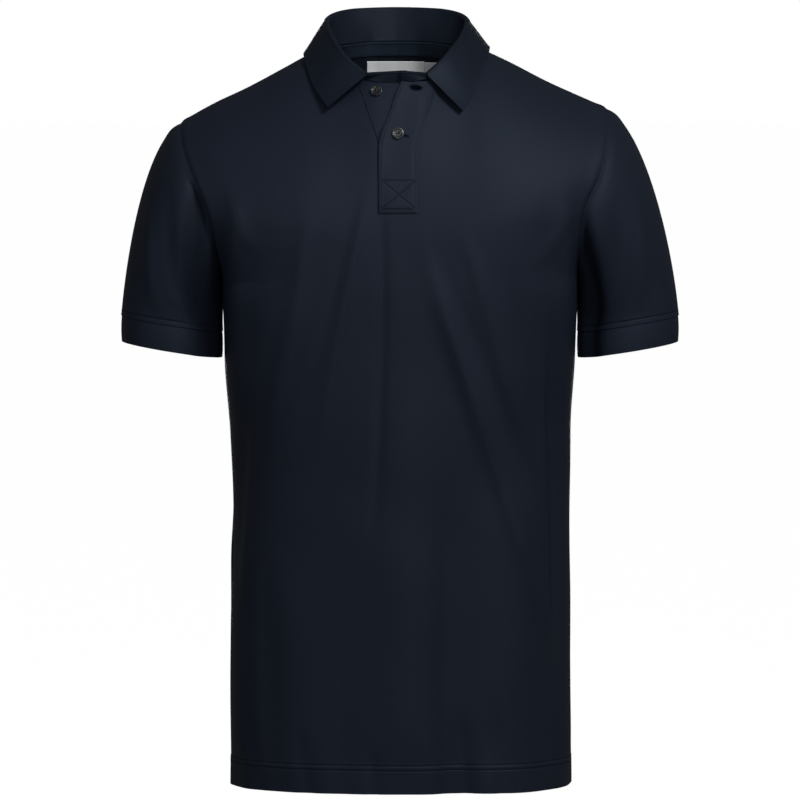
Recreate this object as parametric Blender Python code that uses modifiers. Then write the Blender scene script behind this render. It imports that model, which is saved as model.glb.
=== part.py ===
# A short-sleeved polo shirt in its worn form: hollow, open at the neck, hem and cuffs,
# with the upper button of its placket undone.
# Metres. +Z is up, the front faces -Y and +X is the wearer's left.
# The origin lies midway between front and back, between the upper ends of the shoulder seams.

import bpy
import numpy as np
from mathutils import Matrix, Vector

NAME = "polo_shirt"

# Cloth
BODY_WALL = 0.0014
CUFF_WALL = 0.0020
COLLAR_WALL = 0.0018
PLACKET_WALL = 0.0016
TRIM_WALL = 0.0010
SEAM_GAP = 0.0003
TRIM_CLEAR = 0.0007
MITRE_MOST = 1.45
MITRE_FACING = 0.3
SHARP_ANGLE = 50.0

# Body
HEM = -0.742
UNDERARM = -0.235
SQUARENESS = 2.5
SHOULDER_ROUND = 1.7
NECK_CENTRE = -0.003
NECK_REACH = 0.070
TIP = {"right": (0.2191, -0.0805), "left": (0.2066, -0.0660)}

# Body rings: half widths on the wearer's right and left, and depths of the front and the back
RINGS = {
    "height": (-0.742, -0.600, -0.450, -0.318, -0.235, -0.180, -0.100, 0.000, 0.060),
    "right": (0.1690, 0.1690, 0.1680, 0.1720, 0.1745, 0.1745, 0.1745, 0.1745, 0.1745),
    "left": (0.1710, 0.1700, 0.1700, 0.1710, 0.1745, 0.1745, 0.1745, 0.1745, 0.1745),
    "front": (0.1160, 0.1165, 0.1190, 0.1250, 0.1280, 0.1270, 0.1240, 0.1220, 0.1200),
    "back": (0.1200, 0.1160, 0.1120, 0.1180, 0.1250, 0.1285, 0.1300, 0.1280, 0.1260),
}

# Shoulder line: its height at each distance from the neck's middle, and the drop over which the
# cloth rounds from that line to the full depth of the chest; inside the neck it is only a guide
SHOULDER = {
    "out": (0.000, 0.020, 0.035, 0.050, 0.060, 0.070, 0.090, 0.110, 0.150, 0.180, 0.2096, 0.2161),
    "right": (0.0450, 0.0400, 0.0255, 0.0100, 0.0025, -0.0035, -0.0135,
              -0.0245, -0.0458, -0.0600, -0.0765, -0.0805),
    "left": (0.0450, 0.0400, 0.0255, 0.0100, 0.0025, -0.0030, -0.0098,
             -0.0190, -0.0395, -0.0530, -0.0660, -0.0690),
    "drop": (0.245, 0.238, 0.222, 0.205, 0.195, 0.186, 0.171, 0.157, 0.135, 0.121, 0.108, 0.105),
}

# Armhole: distance from the middle, and how near the body ring comes to closing there,
# by the share of the way from the underarm point to the shoulder tip
ARMHOLE = {
    "share": (0.00, 0.02, 0.06, 0.15, 0.30, 0.45, 0.60, 0.75, 0.88, 1.00),
    "right": (0.1745, 0.1754, 0.1772, 0.1805, 0.1868, 0.1923, 0.2005, 0.2105, 0.2165, 0.2191),
    "left": (0.1745, 0.1748, 0.1755, 0.1768, 0.1795, 0.1848, 0.1965, 0.2035, 0.2060, 0.2066),
    "closing": (1.000, 0.999, 0.985, 0.930, 0.850, 0.800, 0.778, 0.766, 0.757, 0.750),
}

# Neckline heights by distance from the neck's middle
NECKLINE = {
    "out": (0.000, 0.020, 0.035, 0.045, 0.055, 0.064, 0.070),
    "front": (-0.0380, -0.0380, -0.0350, -0.0310, -0.0225, -0.0110, -0.0033),
    "back": (0.0003, 0.0001, -0.0006, -0.0016, -0.0024, -0.0028, -0.0033),
}

# Folds of the cloth, seen from the front: ends, sideways bow, half width on the wearer's right,
# its share on the wearer's left, and rise of the cloth
FOLD_COLUMNS = ("x0", "z0", "x1", "z1", "bow", "half_width", "skew", "rise")
FRONT_FOLDS = (
    (0.018, -0.175, 0.134, -0.512, 0.008, 0.010, 2.4, 0.0058),
    (0.082, -0.235, 0.132, -0.370, 0.003, 0.010, 1.8, 0.0025),
    (-0.022, -0.168, -0.029, -0.450, 0.007, 0.007, 1.0, -0.0022),
    (-0.030, -0.172, -0.084, -0.395, -0.002, 0.009, 1.0, 0.0026),
    (-0.086, -0.205, -0.128, -0.375, 0.005, 0.010, 1.0, 0.0032),
    (0.035, -0.400, 0.036, -0.735, 0.000, 0.030, 0.3, 0.0030),
)
BACK_FOLDS = (
    (-0.055, -0.190, -0.135, -0.420, -0.010, 0.018, 1.0, -0.0045),
    (0.060, -0.170, 0.140, -0.390, 0.010, 0.016, 1.0, -0.0050),
    (0.010, -0.230, -0.030, -0.470, 0.006, 0.020, 1.0, -0.0030),
    (-0.100, -0.460, -0.080, -0.720, 0.000, 0.022, 1.0, 0.0030),
    (0.060, -0.430, 0.075, -0.715, -0.004, 0.024, 1.0, 0.0035),
)
SIDE_FADE = (0.135, 0.166)

# Placket: the strip's edges where it is fastened, and how far each half has opened
PLACKET_RIGHT = -0.0210
PLACKET_LEFT = 0.0145
PLACKET_LAP = 0.0030
PLACKET_END = -0.1660
SLIT_END = -0.1360
OPENED = {
    "height": (-0.200, -0.105, -0.090, -0.080, -0.064, -0.050, -0.040, -0.029),
    "apart": (0.0000, 0.0000, 0.0030, 0.0065, 0.0125, 0.0175, 0.0220, 0.0280),
}

# Collar, from the centre back (share 0) to the leaf's front edge (share 1): its fold line and
# its lower edge, each as distance from the neck's middle, depth and height
COLLAR = {
    "share": (0.00, 0.22, 0.42, 0.56, 0.70, 0.85, 1.00),
    "fold_out": (0.000, 0.040, 0.0655, 0.0720, 0.0655, 0.0526, 0.0300),
    "fold_depth": (0.0680, 0.0575, 0.0290, -0.0020, -0.0370, -0.0660, -0.0815),
    "fold_height": (0.0335, 0.0325, 0.0278, 0.0215, 0.0090, -0.0095, -0.0285),
    "edge_out": (0.000, 0.047, 0.083, 0.0960, 0.0905, 0.0820, 0.0690),
    "edge_depth": (0.0775, 0.0675, 0.0390, -0.0100, -0.0430, -0.0680, -0.0910),
    "edge_height": (-0.0090, -0.0095, -0.0105, -0.0135, -0.0290, -0.0440, -0.0620),
}

# What the leaf on the wearer's left adds to those
COLLAR_LEFT = {
    "share": (0.00, 0.56, 0.70, 0.85, 1.00),
    "fold_out": (0.000, 0.000, 0.000, -0.0030, -0.0010),
    "edge_out": (0.000, 0.000, -0.0030, -0.0030, -0.0040),
    "edge_height": (0.000, 0.000, 0.000, -0.0010, -0.0035),
}
LEAF_REST = 0.0055
FOLD_RADIUS = 0.0030
LEAF_BOW = 0.0024
TONGUE_FOLD = (0.0110, -0.0860, -0.0262)
TONGUE_BASE = {"right": 0.0095, "left": 0.0075}

# Sleeves and cuffs: the seam between them is an ellipse
CUFF_HEIGHT = 0.0262
CUFF_STEP = 0.0006
CUFF_DROP = (0.0008, 0.0, -1.0)
SLEEVE_END = {
    "outer": (0.2785, -0.2727),
    "inner": (0.1768, -0.2885),
    "depth": -0.003,
    "half_depth": 0.058,
}

# Ways in which a sleeve leaves the armhole and reaches its seam, in shares of its length:
# a plain part, a part that grows towards the shoulder, and a part at the sleeve's front and back
SLEEVE_WAYS = {
    "leave_out": (0.10, 0.42, 0.20),
    "leave_down": (-0.95, 0.70, 0.10),
    "arrive_out": (-0.04, 0.12, 0.00),
    "arrive_down": (-0.95, 0.00, 0.00),
}
LEAVE_DEPTH = -0.22
ARRIVE_DEPTH = 0.02
TOP_POWER = 1.5
SLEEVE_FOLD_COLUMNS = ("turn0", "down0", "turn1", "down1", "half_width", "rise")
SLEEVE_FOLDS = (
    (0.36, 0.25, 0.22, 0.72, 0.045, -0.0035),
    (0.30, 0.45, 0.17, 0.90, 0.040, 0.0030),
    (0.66, 0.20, 0.80, 0.70, 0.050, -0.0035),
)

# Neck tape and labels, on the inside of the back
TAPE_DROP = 0.0015
TAPE_HEIGHT = 0.0140
TAPE_REACH = 0.060
LABEL = {"right": -0.0342, "left": 0.0255, "top": -0.0200, "bottom": -0.0352}
SIZE_TAB = {"right": 0.0262, "left": 0.0385, "top": -0.0208, "bottom": -0.0345}

# Buttons
BUTTON_RADIUS = 0.0057
BUTTON_HEIGHT = 0.0026
BUTTON_RIM = 0.0011
BUTTON_DISH = 0.0007
BUTTON_STEPS = 20

# Button profile: shares of the radius and of the rim's width taken off it, and share of the height
BUTTON_PROFILE = {
    "radius": (1.00, 1.00, 1.00, 1.00, 0.95, 0.75),
    "rim": (2.0, 1.4, 0.4, 0.0, 0.0, 0.0),
    "height": (1.0, 1.0, 1.0, 0.70, 0.35, 0.0),
}
UPPER_BUTTON = (-0.0232, -0.0470)
LOWER_BUTTON = (-0.0022, -0.0890)

# Grid lines that run down from the neck points spread by this much between these heights
GUIDE_SPREAD = 0.014
GUIDE_TOP = -0.100

# Grid steps
COLUMNS = {"shoulder": 9, "neck": 6, "slit": 4, "back_neck": 14}
LOWER_ROWS = 15
CHEST_ROWS = 5
SHOULDER_ROWS = 8
SLEEVE_ROWS = 12
STAND_ROWS = 4
ARC_ROWS = 4
LEAF_ROWS = 5
TONGUE_COLUMNS = 3
PLACKET_GRID = (12, 4)
TAPE_GRID = (2, 12)
LABEL_GRID = (2, 6)
SIZE_TAB_GRID = (2, 2)
CHEST_SPREAD = 1.35
SHOULDER_SPREAD = 1.6
SLOPE_STEP = 0.0005
HALVINGS = 30
FITTING_ROUNDS = 40

COLOURS = {
    "pique": (0.0135, 0.0172, 0.0275),
    "rib": (0.0135, 0.0175, 0.0270),
    "tape": (0.0150, 0.0195, 0.0290),
    "label": (0.78, 0.78, 0.76),
    "button": (0.0040, 0.0045, 0.0060),
}
ROUGHNESS = {"pique": 0.90, "rib": 0.92, "tape": 0.85, "label": 0.60, "button": 0.22}


def smooth(at, places, values):
    """Cubic through the named values, with slopes that don't overshoot, held past its ends."""
    places = np.asarray(places, float)
    values = np.asarray(values, float)
    widths = np.diff(places)
    slopes = np.diff(values) / widths
    before, after = slopes[:-1], slopes[1:]
    total = np.where(before * after > 0, before + after, 1.0)
    inner = np.where(before * after > 0, 2 * before * after / total, 0.0)
    tangents = np.concatenate(([slopes[0]], inner, [slopes[-1]]))
    at = np.clip(np.asarray(at, float), places[0], places[-1])
    span = np.clip(np.searchsorted(places, at) - 1, 0, len(widths) - 1)
    t = (at - places[span]) / widths[span]
    start = (1 + 2 * t) * (1 - t) ** 2 * values[span] + t**2 * (3 - 2 * t) * values[span + 1]
    bend = t * (1 - t) ** 2 * tangents[span] - t**2 * (1 - t) * tangents[span + 1]
    return start + bend * widths[span]


def look_up(table, column, key, at):
    return smooth(at, table[key], table[column])


def by_side(x, right, left):
    return np.where(np.asarray(x) < 0, right, left)


def lengths(vectors):
    return np.linalg.norm(vectors, axis=-1, keepdims=True)


def unit(vectors):
    return vectors / np.maximum(lengths(vectors), 1e-12)


def armhole_share(side, z):
    tip_height = TIP[side][1]
    return np.clip((z - UNDERARM) / (tip_height - UNDERARM), 0.0, 1.0)


def armhole_out(side, z):
    """Distance of the side seam or armhole seam from the middle plane, at a height."""
    seam = look_up(RINGS, side, "height", z)
    hole = look_up(ARMHOLE, side, "share", armhole_share(side, z))
    return np.where(z <= UNDERARM, seam, hole)


def ring_reach(side, z):
    """Half width at which the body ring closes; above the underarm it closes past the armhole."""
    closing = look_up(ARMHOLE, "closing", "share", armhole_share(side, z))
    return armhole_out(side, z) / closing


def shoulder_height(x):
    out = np.abs(x - NECK_CENTRE)
    right = look_up(SHOULDER, "right", "out", out)
    left = look_up(SHOULDER, "left", "out", out)
    return by_side(x, right, left)


def fold_rise(x, z, folds):
    """Height of the folds: along each bowed line a bell-shaped rise that fades to its ends."""
    total = np.zeros(np.broadcast(x, z).shape)
    for fold in folds:
        row = dict(zip(FOLD_COLUMNS, fold))
        along = np.array((row["x1"] - row["x0"], row["z1"] - row["z0"]))
        span = np.hypot(*along)
        along = along / span
        share = ((x - row["x0"]) * along[0] + (z - row["z0"]) * along[1]) / span
        aside = (x - row["x0"]) * -along[1] + (z - row["z0"]) * along[0]
        inside = np.clip(share, 0.0, 1.0)
        aside = aside - row["bow"] * 4 * inside * (1 - inside)
        fade = np.sin(np.pi * inside) ** 0.7
        width = row["half_width"] * np.where(aside > 0, row["skew"], 1.0)
        total = total + row["rise"] * fade * np.exp(-((aside / width) ** 2))
    start, end = SIDE_FADE
    flat = np.clip((end - np.abs(x)) / (end - start), 0.0, 1.0)
    return total * flat


def body_depth(x, z, back):
    """Distance of the cloth from the plane y = 0: a ring's depth, rounded over the shoulder."""
    reach = by_side(x, ring_reach("right", z), ring_reach("left", z))
    across = np.clip(1 - (np.abs(x) / reach) ** SQUARENESS, 0.0, 1.0) ** (1 / SQUARENESS)
    out = np.abs(x - NECK_CENTRE)
    fallen = np.clip((shoulder_height(x) - z) / look_up(SHOULDER, "drop", "out", out), 0.0, 1.0)
    over = (1 - (1 - fallen) ** SHOULDER_ROUND) ** (1 / SHOULDER_ROUND)
    full = look_up(RINGS, "back" if back else "front", "height", z)
    return full * across * over + fold_rise(x, z, BACK_FOLDS if back else FRONT_FOLDS)


def body_height(x, y):
    """Height of the cloth's outer surface above a point of the plan, found by halving."""
    low = np.full(np.shape(x), SLIT_END)
    high = shoulder_height(x)
    for _ in range(HALVINGS):
        middle = (low + high) / 2
        deep = np.where(y > 0, body_depth(x, middle, True), body_depth(x, middle, False))
        low = np.where(deep > np.abs(y), middle, low)
        high = np.where(deep > np.abs(y), high, middle)
    return high


def body_point(x, z, back, lift=0.0):
    """Point of the front's or the back's outer surface, moved out along its normal."""
    x, z = np.broadcast_arrays(np.asarray(x, float), np.asarray(z, float))
    sign = 1.0 if back else -1.0
    step = SLOPE_STEP
    slope_x = (body_depth(x + step, z, back) - body_depth(x - step, z, back)) / (2 * step)
    slope_z = (body_depth(x, z + step, back) - body_depth(x, z - step, back)) / (2 * step)
    normal = unit(np.stack((-slope_x, np.full_like(x, sign), -slope_z), axis=-1))
    point = np.stack((x, sign * body_depth(x, z, back), z), axis=-1)
    return point + normal * lift, normal


def grid_normals(points, wrap=False):
    """Normals of a grid whose columns run to the right and rows run up, seen from outside."""
    if wrap:
        across = np.roll(points, -1, axis=1) - np.roll(points, 1, axis=1)
    else:
        across = np.gradient(points, axis=1)
    up = np.gradient(points, axis=0)
    return unit(np.cross(across, up))


def mitre(own, shared, wall):
    """Way from the outer to the inner surface at a seam, along the normal that both pieces share."""
    facing = np.sum(own * shared, axis=-1, keepdims=True)
    return -shared * wall * np.minimum(1 / np.maximum(facing, MITRE_FACING), MITRE_MOST)


def cloth_wall(name, outer, inward, finish, keep=None, wrap=False):
    """Closed wall between a grid of outer points and the same points moved inward."""
    rows, columns = outer.shape[:2]
    cells = np.ones((rows - 1, columns if wrap else columns - 1), bool) if keep is None else keep
    used = np.zeros((rows, columns), bool)
    faces = []
    count = rows * columns

    def index(row, column):
        used[row, column % columns] = True
        return row * columns + column % columns

    def cut(row, column):
        if wrap:
            column = column % columns
        outside = not (0 <= row < cells.shape[0] and 0 <= column < cells.shape[1])
        return outside or not cells[row, column]

    for row, column in zip(*np.nonzero(cells)):
        corners = (index(row, column), index(row, column + 1),
                   index(row + 1, column + 1), index(row + 1, column))
        faces.append(corners)
        faces.append(tuple(corner + count for corner in reversed(corners)))
        neighbours = ((row - 1, column), (row, column + 1), (row + 1, column), (row, column - 1))
        for side, neighbour in enumerate(neighbours):
            if cut(*neighbour):
                first, second = corners[side], corners[(side + 1) % 4]
                faces.append((second, first, first + count, second + count))

    both = np.concatenate((outer.reshape(-1, 3), (outer + inward).reshape(-1, 3)))
    kept = np.concatenate((used.ravel(), used.ravel()))
    number = np.cumsum(kept) - 1
    mesh = bpy.data.meshes.new(name)
    mesh.from_pydata(both[kept].tolist(), [], [[int(number[c]) for c in face] for face in faces])
    mesh.shade_smooth()
    mesh.set_sharp_from_angle(angle=np.radians(SHARP_ANGLE))
    return add_object(name, mesh, finish)


def add_object(name, mesh, finish):
    item = bpy.data.objects.new(name, mesh)
    mesh.materials.append(make_material(name, finish))
    bpy.data.collections[NAME].objects.link(item)
    return item


def make_material(name, finish):
    material = bpy.data.materials.new(name)
    material.use_nodes = True
    shader = material.node_tree.nodes["Principled BSDF"]
    shader.inputs["Base Color"].default_value = (*COLOURS[finish], 1.0)
    shader.inputs["Roughness"].default_value = ROUGHNESS[finish]
    shader.inputs["Metallic"].default_value = 0.0
    return material


def opened(z):
    return look_up(OPENED, "apart", "height", z)


def guide_out(side, guide, z):
    """Signed x of the grid lines that run down from the shoulder tip, neck point and slit."""
    sign = -1.0 if side == "right" else 1.0
    if guide == "arm":
        return sign * armhole_out(side, z)
    if guide == "neck":
        risen = np.clip((z - HEM) / (GUIDE_TOP - HEM), 0.0, 1.0)
        return NECK_CENTRE + sign * (NECK_REACH + GUIDE_SPREAD * (1 - risen))
    if side == "right":
        return PLACKET_RIGHT - opened(z)
    return PLACKET_LEFT - PLACKET_LAP + opened(z)


def ring_angle(side, x, z):
    share = np.clip(np.abs(x) / ring_reach(side, z), 0.0, 1.0)
    return np.arcsin(share ** (SQUARENESS / 2))


def shoulder_columns(side, z, shares):
    """x of the columns between the neck point line (share 0) and the armhole (share 1)."""
    start = ring_angle(side, guide_out(side, "neck", z), z)
    end = ring_angle(side, guide_out(side, "arm", z), z)
    angle = start + (end - start) * shares
    sign = -1.0 if side == "right" else 1.0
    return sign * ring_reach(side, z) * np.sin(angle) ** (2 / SQUARENESS)


def column_x(key, share, z, back):
    """x of one grid column at its heights; the key names the strip that the column is in."""
    if key in ("right", "left"):
        return shoulder_columns(key, z, share)
    if back:
        start, end = guide_out("right", "neck", z), guide_out("left", "neck", z)
    elif key == "slit":
        start, end = guide_out("right", "slit", z), guide_out("left", "slit", z)
    else:
        side = key.split("_")[1]
        start, end = guide_out(side, "slit", z), guide_out(side, "neck", z)
    return start + (end - start) * share


def panel_columns(back):
    """Columns from the wearer's right to the left, each as a strip's name and a share across it."""
    shoulder = np.linspace(0.0, 1.0, COLUMNS["shoulder"] + 1)
    neck = np.linspace(0.0, 1.0, COLUMNS["neck"] + 1)
    columns = [("right", share) for share in shoulder[::-1]]
    if back:
        middle = np.linspace(0.0, 1.0, COLUMNS["back_neck"] + 1)
        columns += [("middle", share) for share in middle[1:-1]]
    else:
        columns += [("neck_right", share) for share in neck[-2::-1]]
        slit = np.linspace(0.0, 1.0, COLUMNS["slit"] + 1)
        columns += [("slit", share) for share in slit[1:-1]]
        columns += [("neck_left", share) for share in neck[:-1]]
    columns += [("left", share) for share in shoulder]
    return columns


def top_height(key, share, back):
    """Height where a column ends: on the shoulder line or on the neckline."""
    height = np.array(NECKLINE["front"][0])
    for _ in range(FITTING_ROUNDS):
        x = column_x(key, share, height, back)
        if key in ("right", "left"):
            height = shoulder_height(x)
            if share == 1.0:
                height = np.array(TIP[key][1])
        else:
            out = np.abs(x - NECK_CENTRE)
            height = look_up(NECKLINE, "back" if back else "front", "out", out)
    return float(height)


def row_heights(top):
    """Heights of a column's rows: level from the hem to the slit's lower end, then to the top."""
    lower = np.linspace(HEM, UNDERARM, LOWER_ROWS + 1)[:-1]
    share = np.linspace(0.0, 1.0, CHEST_ROWS + 1)[:-1] ** CHEST_SPREAD
    chest = UNDERARM + (SLIT_END - UNDERARM) * share
    round_over = 1 - (1 - np.linspace(0.0, 1.0, SHOULDER_ROWS + 1)) ** SHOULDER_SPREAD
    return np.concatenate((lower, chest, SLIT_END + (top - SLIT_END) * round_over))


def panel_grid(back):
    """Outer points and normals of the front or the back, rows from the hem to the top."""
    points = []
    for key, share in panel_columns(back):
        top = top_height(key, share, back)
        heights = row_heights(top)
        x = column_x(key, share, heights, back)
        y = body_depth(x, heights, back) * (1.0 if back else -1.0)
        points.append(np.stack((x, y, heights), axis=-1))
    grid = np.stack(points, axis=1)
    if back:
        grid = grid[:, ::-1]
    edges = grid_seams(grid)
    grid[edges, 1] = 0.0
    normals = grid_normals(grid)
    normals[edges, 1] = 0.0
    return grid, unit(normals), edges


def grid_seams(grid):
    """Points of the side seams and shoulder seams, which lie in the plane y = 0."""
    seams = np.zeros(grid.shape[:2], bool)
    seams[: LOWER_ROWS + 1, 0] = True
    seams[: LOWER_ROWS + 1, -1] = True
    seams[-1, : COLUMNS["shoulder"] + 1] = True
    seams[-1, -COLUMNS["shoulder"] - 1:] = True
    return seams


def sleeve_rings(side, hole):
    """Rings of a sleeve from the cuff seam up to the armhole; hole holds the armhole's points."""
    sign = -1.0 if side == "right" else 1.0
    steps = lengths(np.roll(hole, -1, axis=0) - hole)[:, 0]
    half = len(hole) // 2
    front = np.concatenate(([0.0], np.cumsum(steps[:half])))
    rear = np.concatenate(([0.0], np.cumsum(steps[half:])))
    turn = np.concatenate((0.5 * front / front[-1], 0.5 + 0.5 * rear[1:-1] / rear[-1]))
    angle = 2 * np.pi * turn

    outer_x, outer_z = SLEEVE_END["outer"]
    inner_x, inner_z = SLEEVE_END["inner"]
    end = np.stack((
        sign * ((outer_x + inner_x) / 2 - (outer_x - inner_x) / 2 * np.cos(angle)),
        SLEEVE_END["depth"] - SLEEVE_END["half_depth"] * np.sin(angle),
        (outer_z + inner_z) / 2 - (outer_z - inner_z) / 2 * np.cos(angle)), axis=-1)

    top = ((1 - np.cos(angle)) / 2) ** TOP_POWER
    aside = np.sin(angle)
    parts = np.stack((np.ones_like(top), top, np.abs(aside)))
    way = {key: np.asarray(value) @ parts for key, value in SLEEVE_WAYS.items()}
    chord = lengths(end - hole)
    leave = np.stack((sign * way["leave_out"], LEAVE_DEPTH * aside, way["leave_down"]), axis=-1)
    arrive = np.stack((sign * way["arrive_out"], ARRIVE_DEPTH * aside, way["arrive_down"]), axis=-1)
    leave = leave * chord
    arrive = arrive * chord

    down = np.linspace(0.0, 1.0, SLEEVE_ROWS + 1)[:, None, None]
    rings = (hole * (1 + 2 * down) * (1 - down) ** 2 + end * down**2 * (3 - 2 * down)
             + leave * down * (1 - down) ** 2 - arrive * down**2 * (1 - down))
    rings = add_sleeve_folds(rings, turn, down[:, :, 0])
    return rings[::-1]


def add_sleeve_folds(rings, turn, down):
    """Folds that run down a sleeve, by their turn around it and their share of its length."""
    centre = rings.mean(axis=1, keepdims=True)
    outward = unit((rings - centre) * (1, 1, 0))
    rise = np.zeros(rings.shape[:2])
    for fold in SLEEVE_FOLDS:
        row = dict(zip(SLEEVE_FOLD_COLUMNS, fold))
        share = np.clip((down - row["down0"]) / (row["down1"] - row["down0"]), 0.0, 1.0)
        middle = row["turn0"] + (row["turn1"] - row["turn0"]) * share
        fade = np.sin(np.pi * share)
        rise = rise + row["rise"] * fade * np.exp(-(((turn - middle) / row["half_width"]) ** 2))
    return rings + outward * rise[:, :, None]


def hole_points(front, back, side):
    """Armhole seam: up the front from the underarm point to the tip and down the back."""
    column_front = 0 if side == "right" else -1
    column_back = -1 if side == "right" else 0
    rise = front[LOWER_ROWS:, column_front]
    fall = back[LOWER_ROWS:, column_back]
    return np.concatenate((rise, fall[-2:0:-1]))


def build_body_and_sleeves():
    """Front, back, sleeves and cuffs, whose walls share one normal along each seam."""
    front, front_normals, seams = panel_grid(back=False)
    back, back_normals, _ = panel_grid(back=True)
    half_gap = SEAM_GAP / 2
    inward = {"front": -front_normals * BODY_WALL, "back": -back_normals * BODY_WALL}
    moved = {"front": front.copy(), "back": back.copy()}
    moved["front"][seams, 1] -= half_gap
    moved["back"][grid_seams(back), 1] += half_gap
    rows = slice(LOWER_ROWS, None)

    for side in ("right", "left"):
        hole = hole_points(front, back, side)
        own = hole_points(front_normals, back_normals, side)
        rings = sleeve_rings(side, hole)
        normals = grid_normals(rings, wrap=True) * (1.0 if side == "left" else -1.0)
        normals[-1, 0, 1] = 0.0
        shared = unit(own + unit(normals[-1]))
        tangent = unit(np.roll(hole, -1, axis=0) - np.roll(hole, 1, axis=0))
        away = unit(np.cross(tangent, shared)) * (1.0 if side == "left" else -1.0)

        reach = len(front) - LOWER_ROWS
        order_back = np.concatenate(([0], np.arange(len(hole) - 1, reach - 2, -1)))
        for name, column, order in (("front", 0 if side == "right" else -1, np.arange(reach)),
                                    ("back", -1 if side == "right" else 0, order_back)):
            moved[name][rows, column] -= away[order] * half_gap
            inward[name][rows, column] = mitre(own[order], shared[order], BODY_WALL)

        sleeve_inward = -normals * BODY_WALL
        sleeve_inward[-1] = mitre(normals[-1], shared, BODY_WALL)
        sleeve = rings.copy()
        sleeve[-1] += away * half_gap
        sleeve[0, :, 2] += half_gap
        order = slice(None, None, -1 if side == "right" else 1)
        cloth_wall("sleeve_" + side, sleeve[:, order], sleeve_inward[:, order], "pique", wrap=True)
        build_cuff(side, rings[0, order], normals[0, order])

    return front, front_normals, back, back_normals, moved, inward


def build_cuff(side, ring, normals):
    """Band below a sleeve: its seam ring, carried down by the band's height."""
    level = unit(normals * (1, 1, 0))
    top = ring - level * CUFF_STEP
    sign = -1.0 if side == "right" else 1.0
    fall = np.array((sign * CUFF_DROP[0], CUFF_DROP[1], CUFF_DROP[2])) * CUFF_HEIGHT
    shares = np.array((1.0, 0.5, 0.0))[:, None, None]
    grid = top + fall * shares
    grid[-1, :, 2] -= SEAM_GAP / 2
    cloth_wall("cuff_" + side, grid, np.broadcast_to(-level * CUFF_WALL, grid.shape), "pique", wrap=True)


def neck_base(front, front_normals, back, back_normals):
    """Neck seam from the wearer's right tongue end, round the back, to the left tongue end."""
    tongue = np.linspace(1.0, 0.0, TONGUE_COLUMNS + 1)
    points, normals = [], []

    def add_tongue(side, shares):
        sign = -1.0 if side == "right" else 1.0
        near = NECK_CENTRE + sign * TONGUE_BASE[side]
        far = guide_out(side, "slit", top_height("neck_" + side, 0.0, False))
        x = far + (near - far) * shares
        z = look_up(NECKLINE, "front", "out", np.abs(x - NECK_CENTRE))
        lift = 0.0 if side == "right" else PLACKET_WALL * np.minimum(shares * 2, 1.0)
        lift = np.broadcast_to(lift, x.shape)[:, None]
        point, normal = body_point(x, z, False)
        points.append(point + normal * lift)
        normals.append(normal)

    first = COLUMNS["shoulder"]
    neck = COLUMNS["neck"]
    add_tongue("right", tongue[:-1])
    points.append(front[-1, first:first + neck + 1][::-1])
    normals.append(front_normals[-1, first:first + neck + 1][::-1])
    middle = back[-1, first:len(back[0]) - first][::-1]
    points.append(middle[1:-1])
    normals.append(back_normals[-1, first:len(back[0]) - first][::-1][1:-1])
    last = len(front[0]) - 1 - first
    points.append(front[-1, last - neck:last + 1][::-1])
    normals.append(front_normals[-1, last - neck:last + 1][::-1])
    add_tongue("left", tongue[::-1][1:])
    return np.concatenate(points), np.concatenate(normals)


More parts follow.
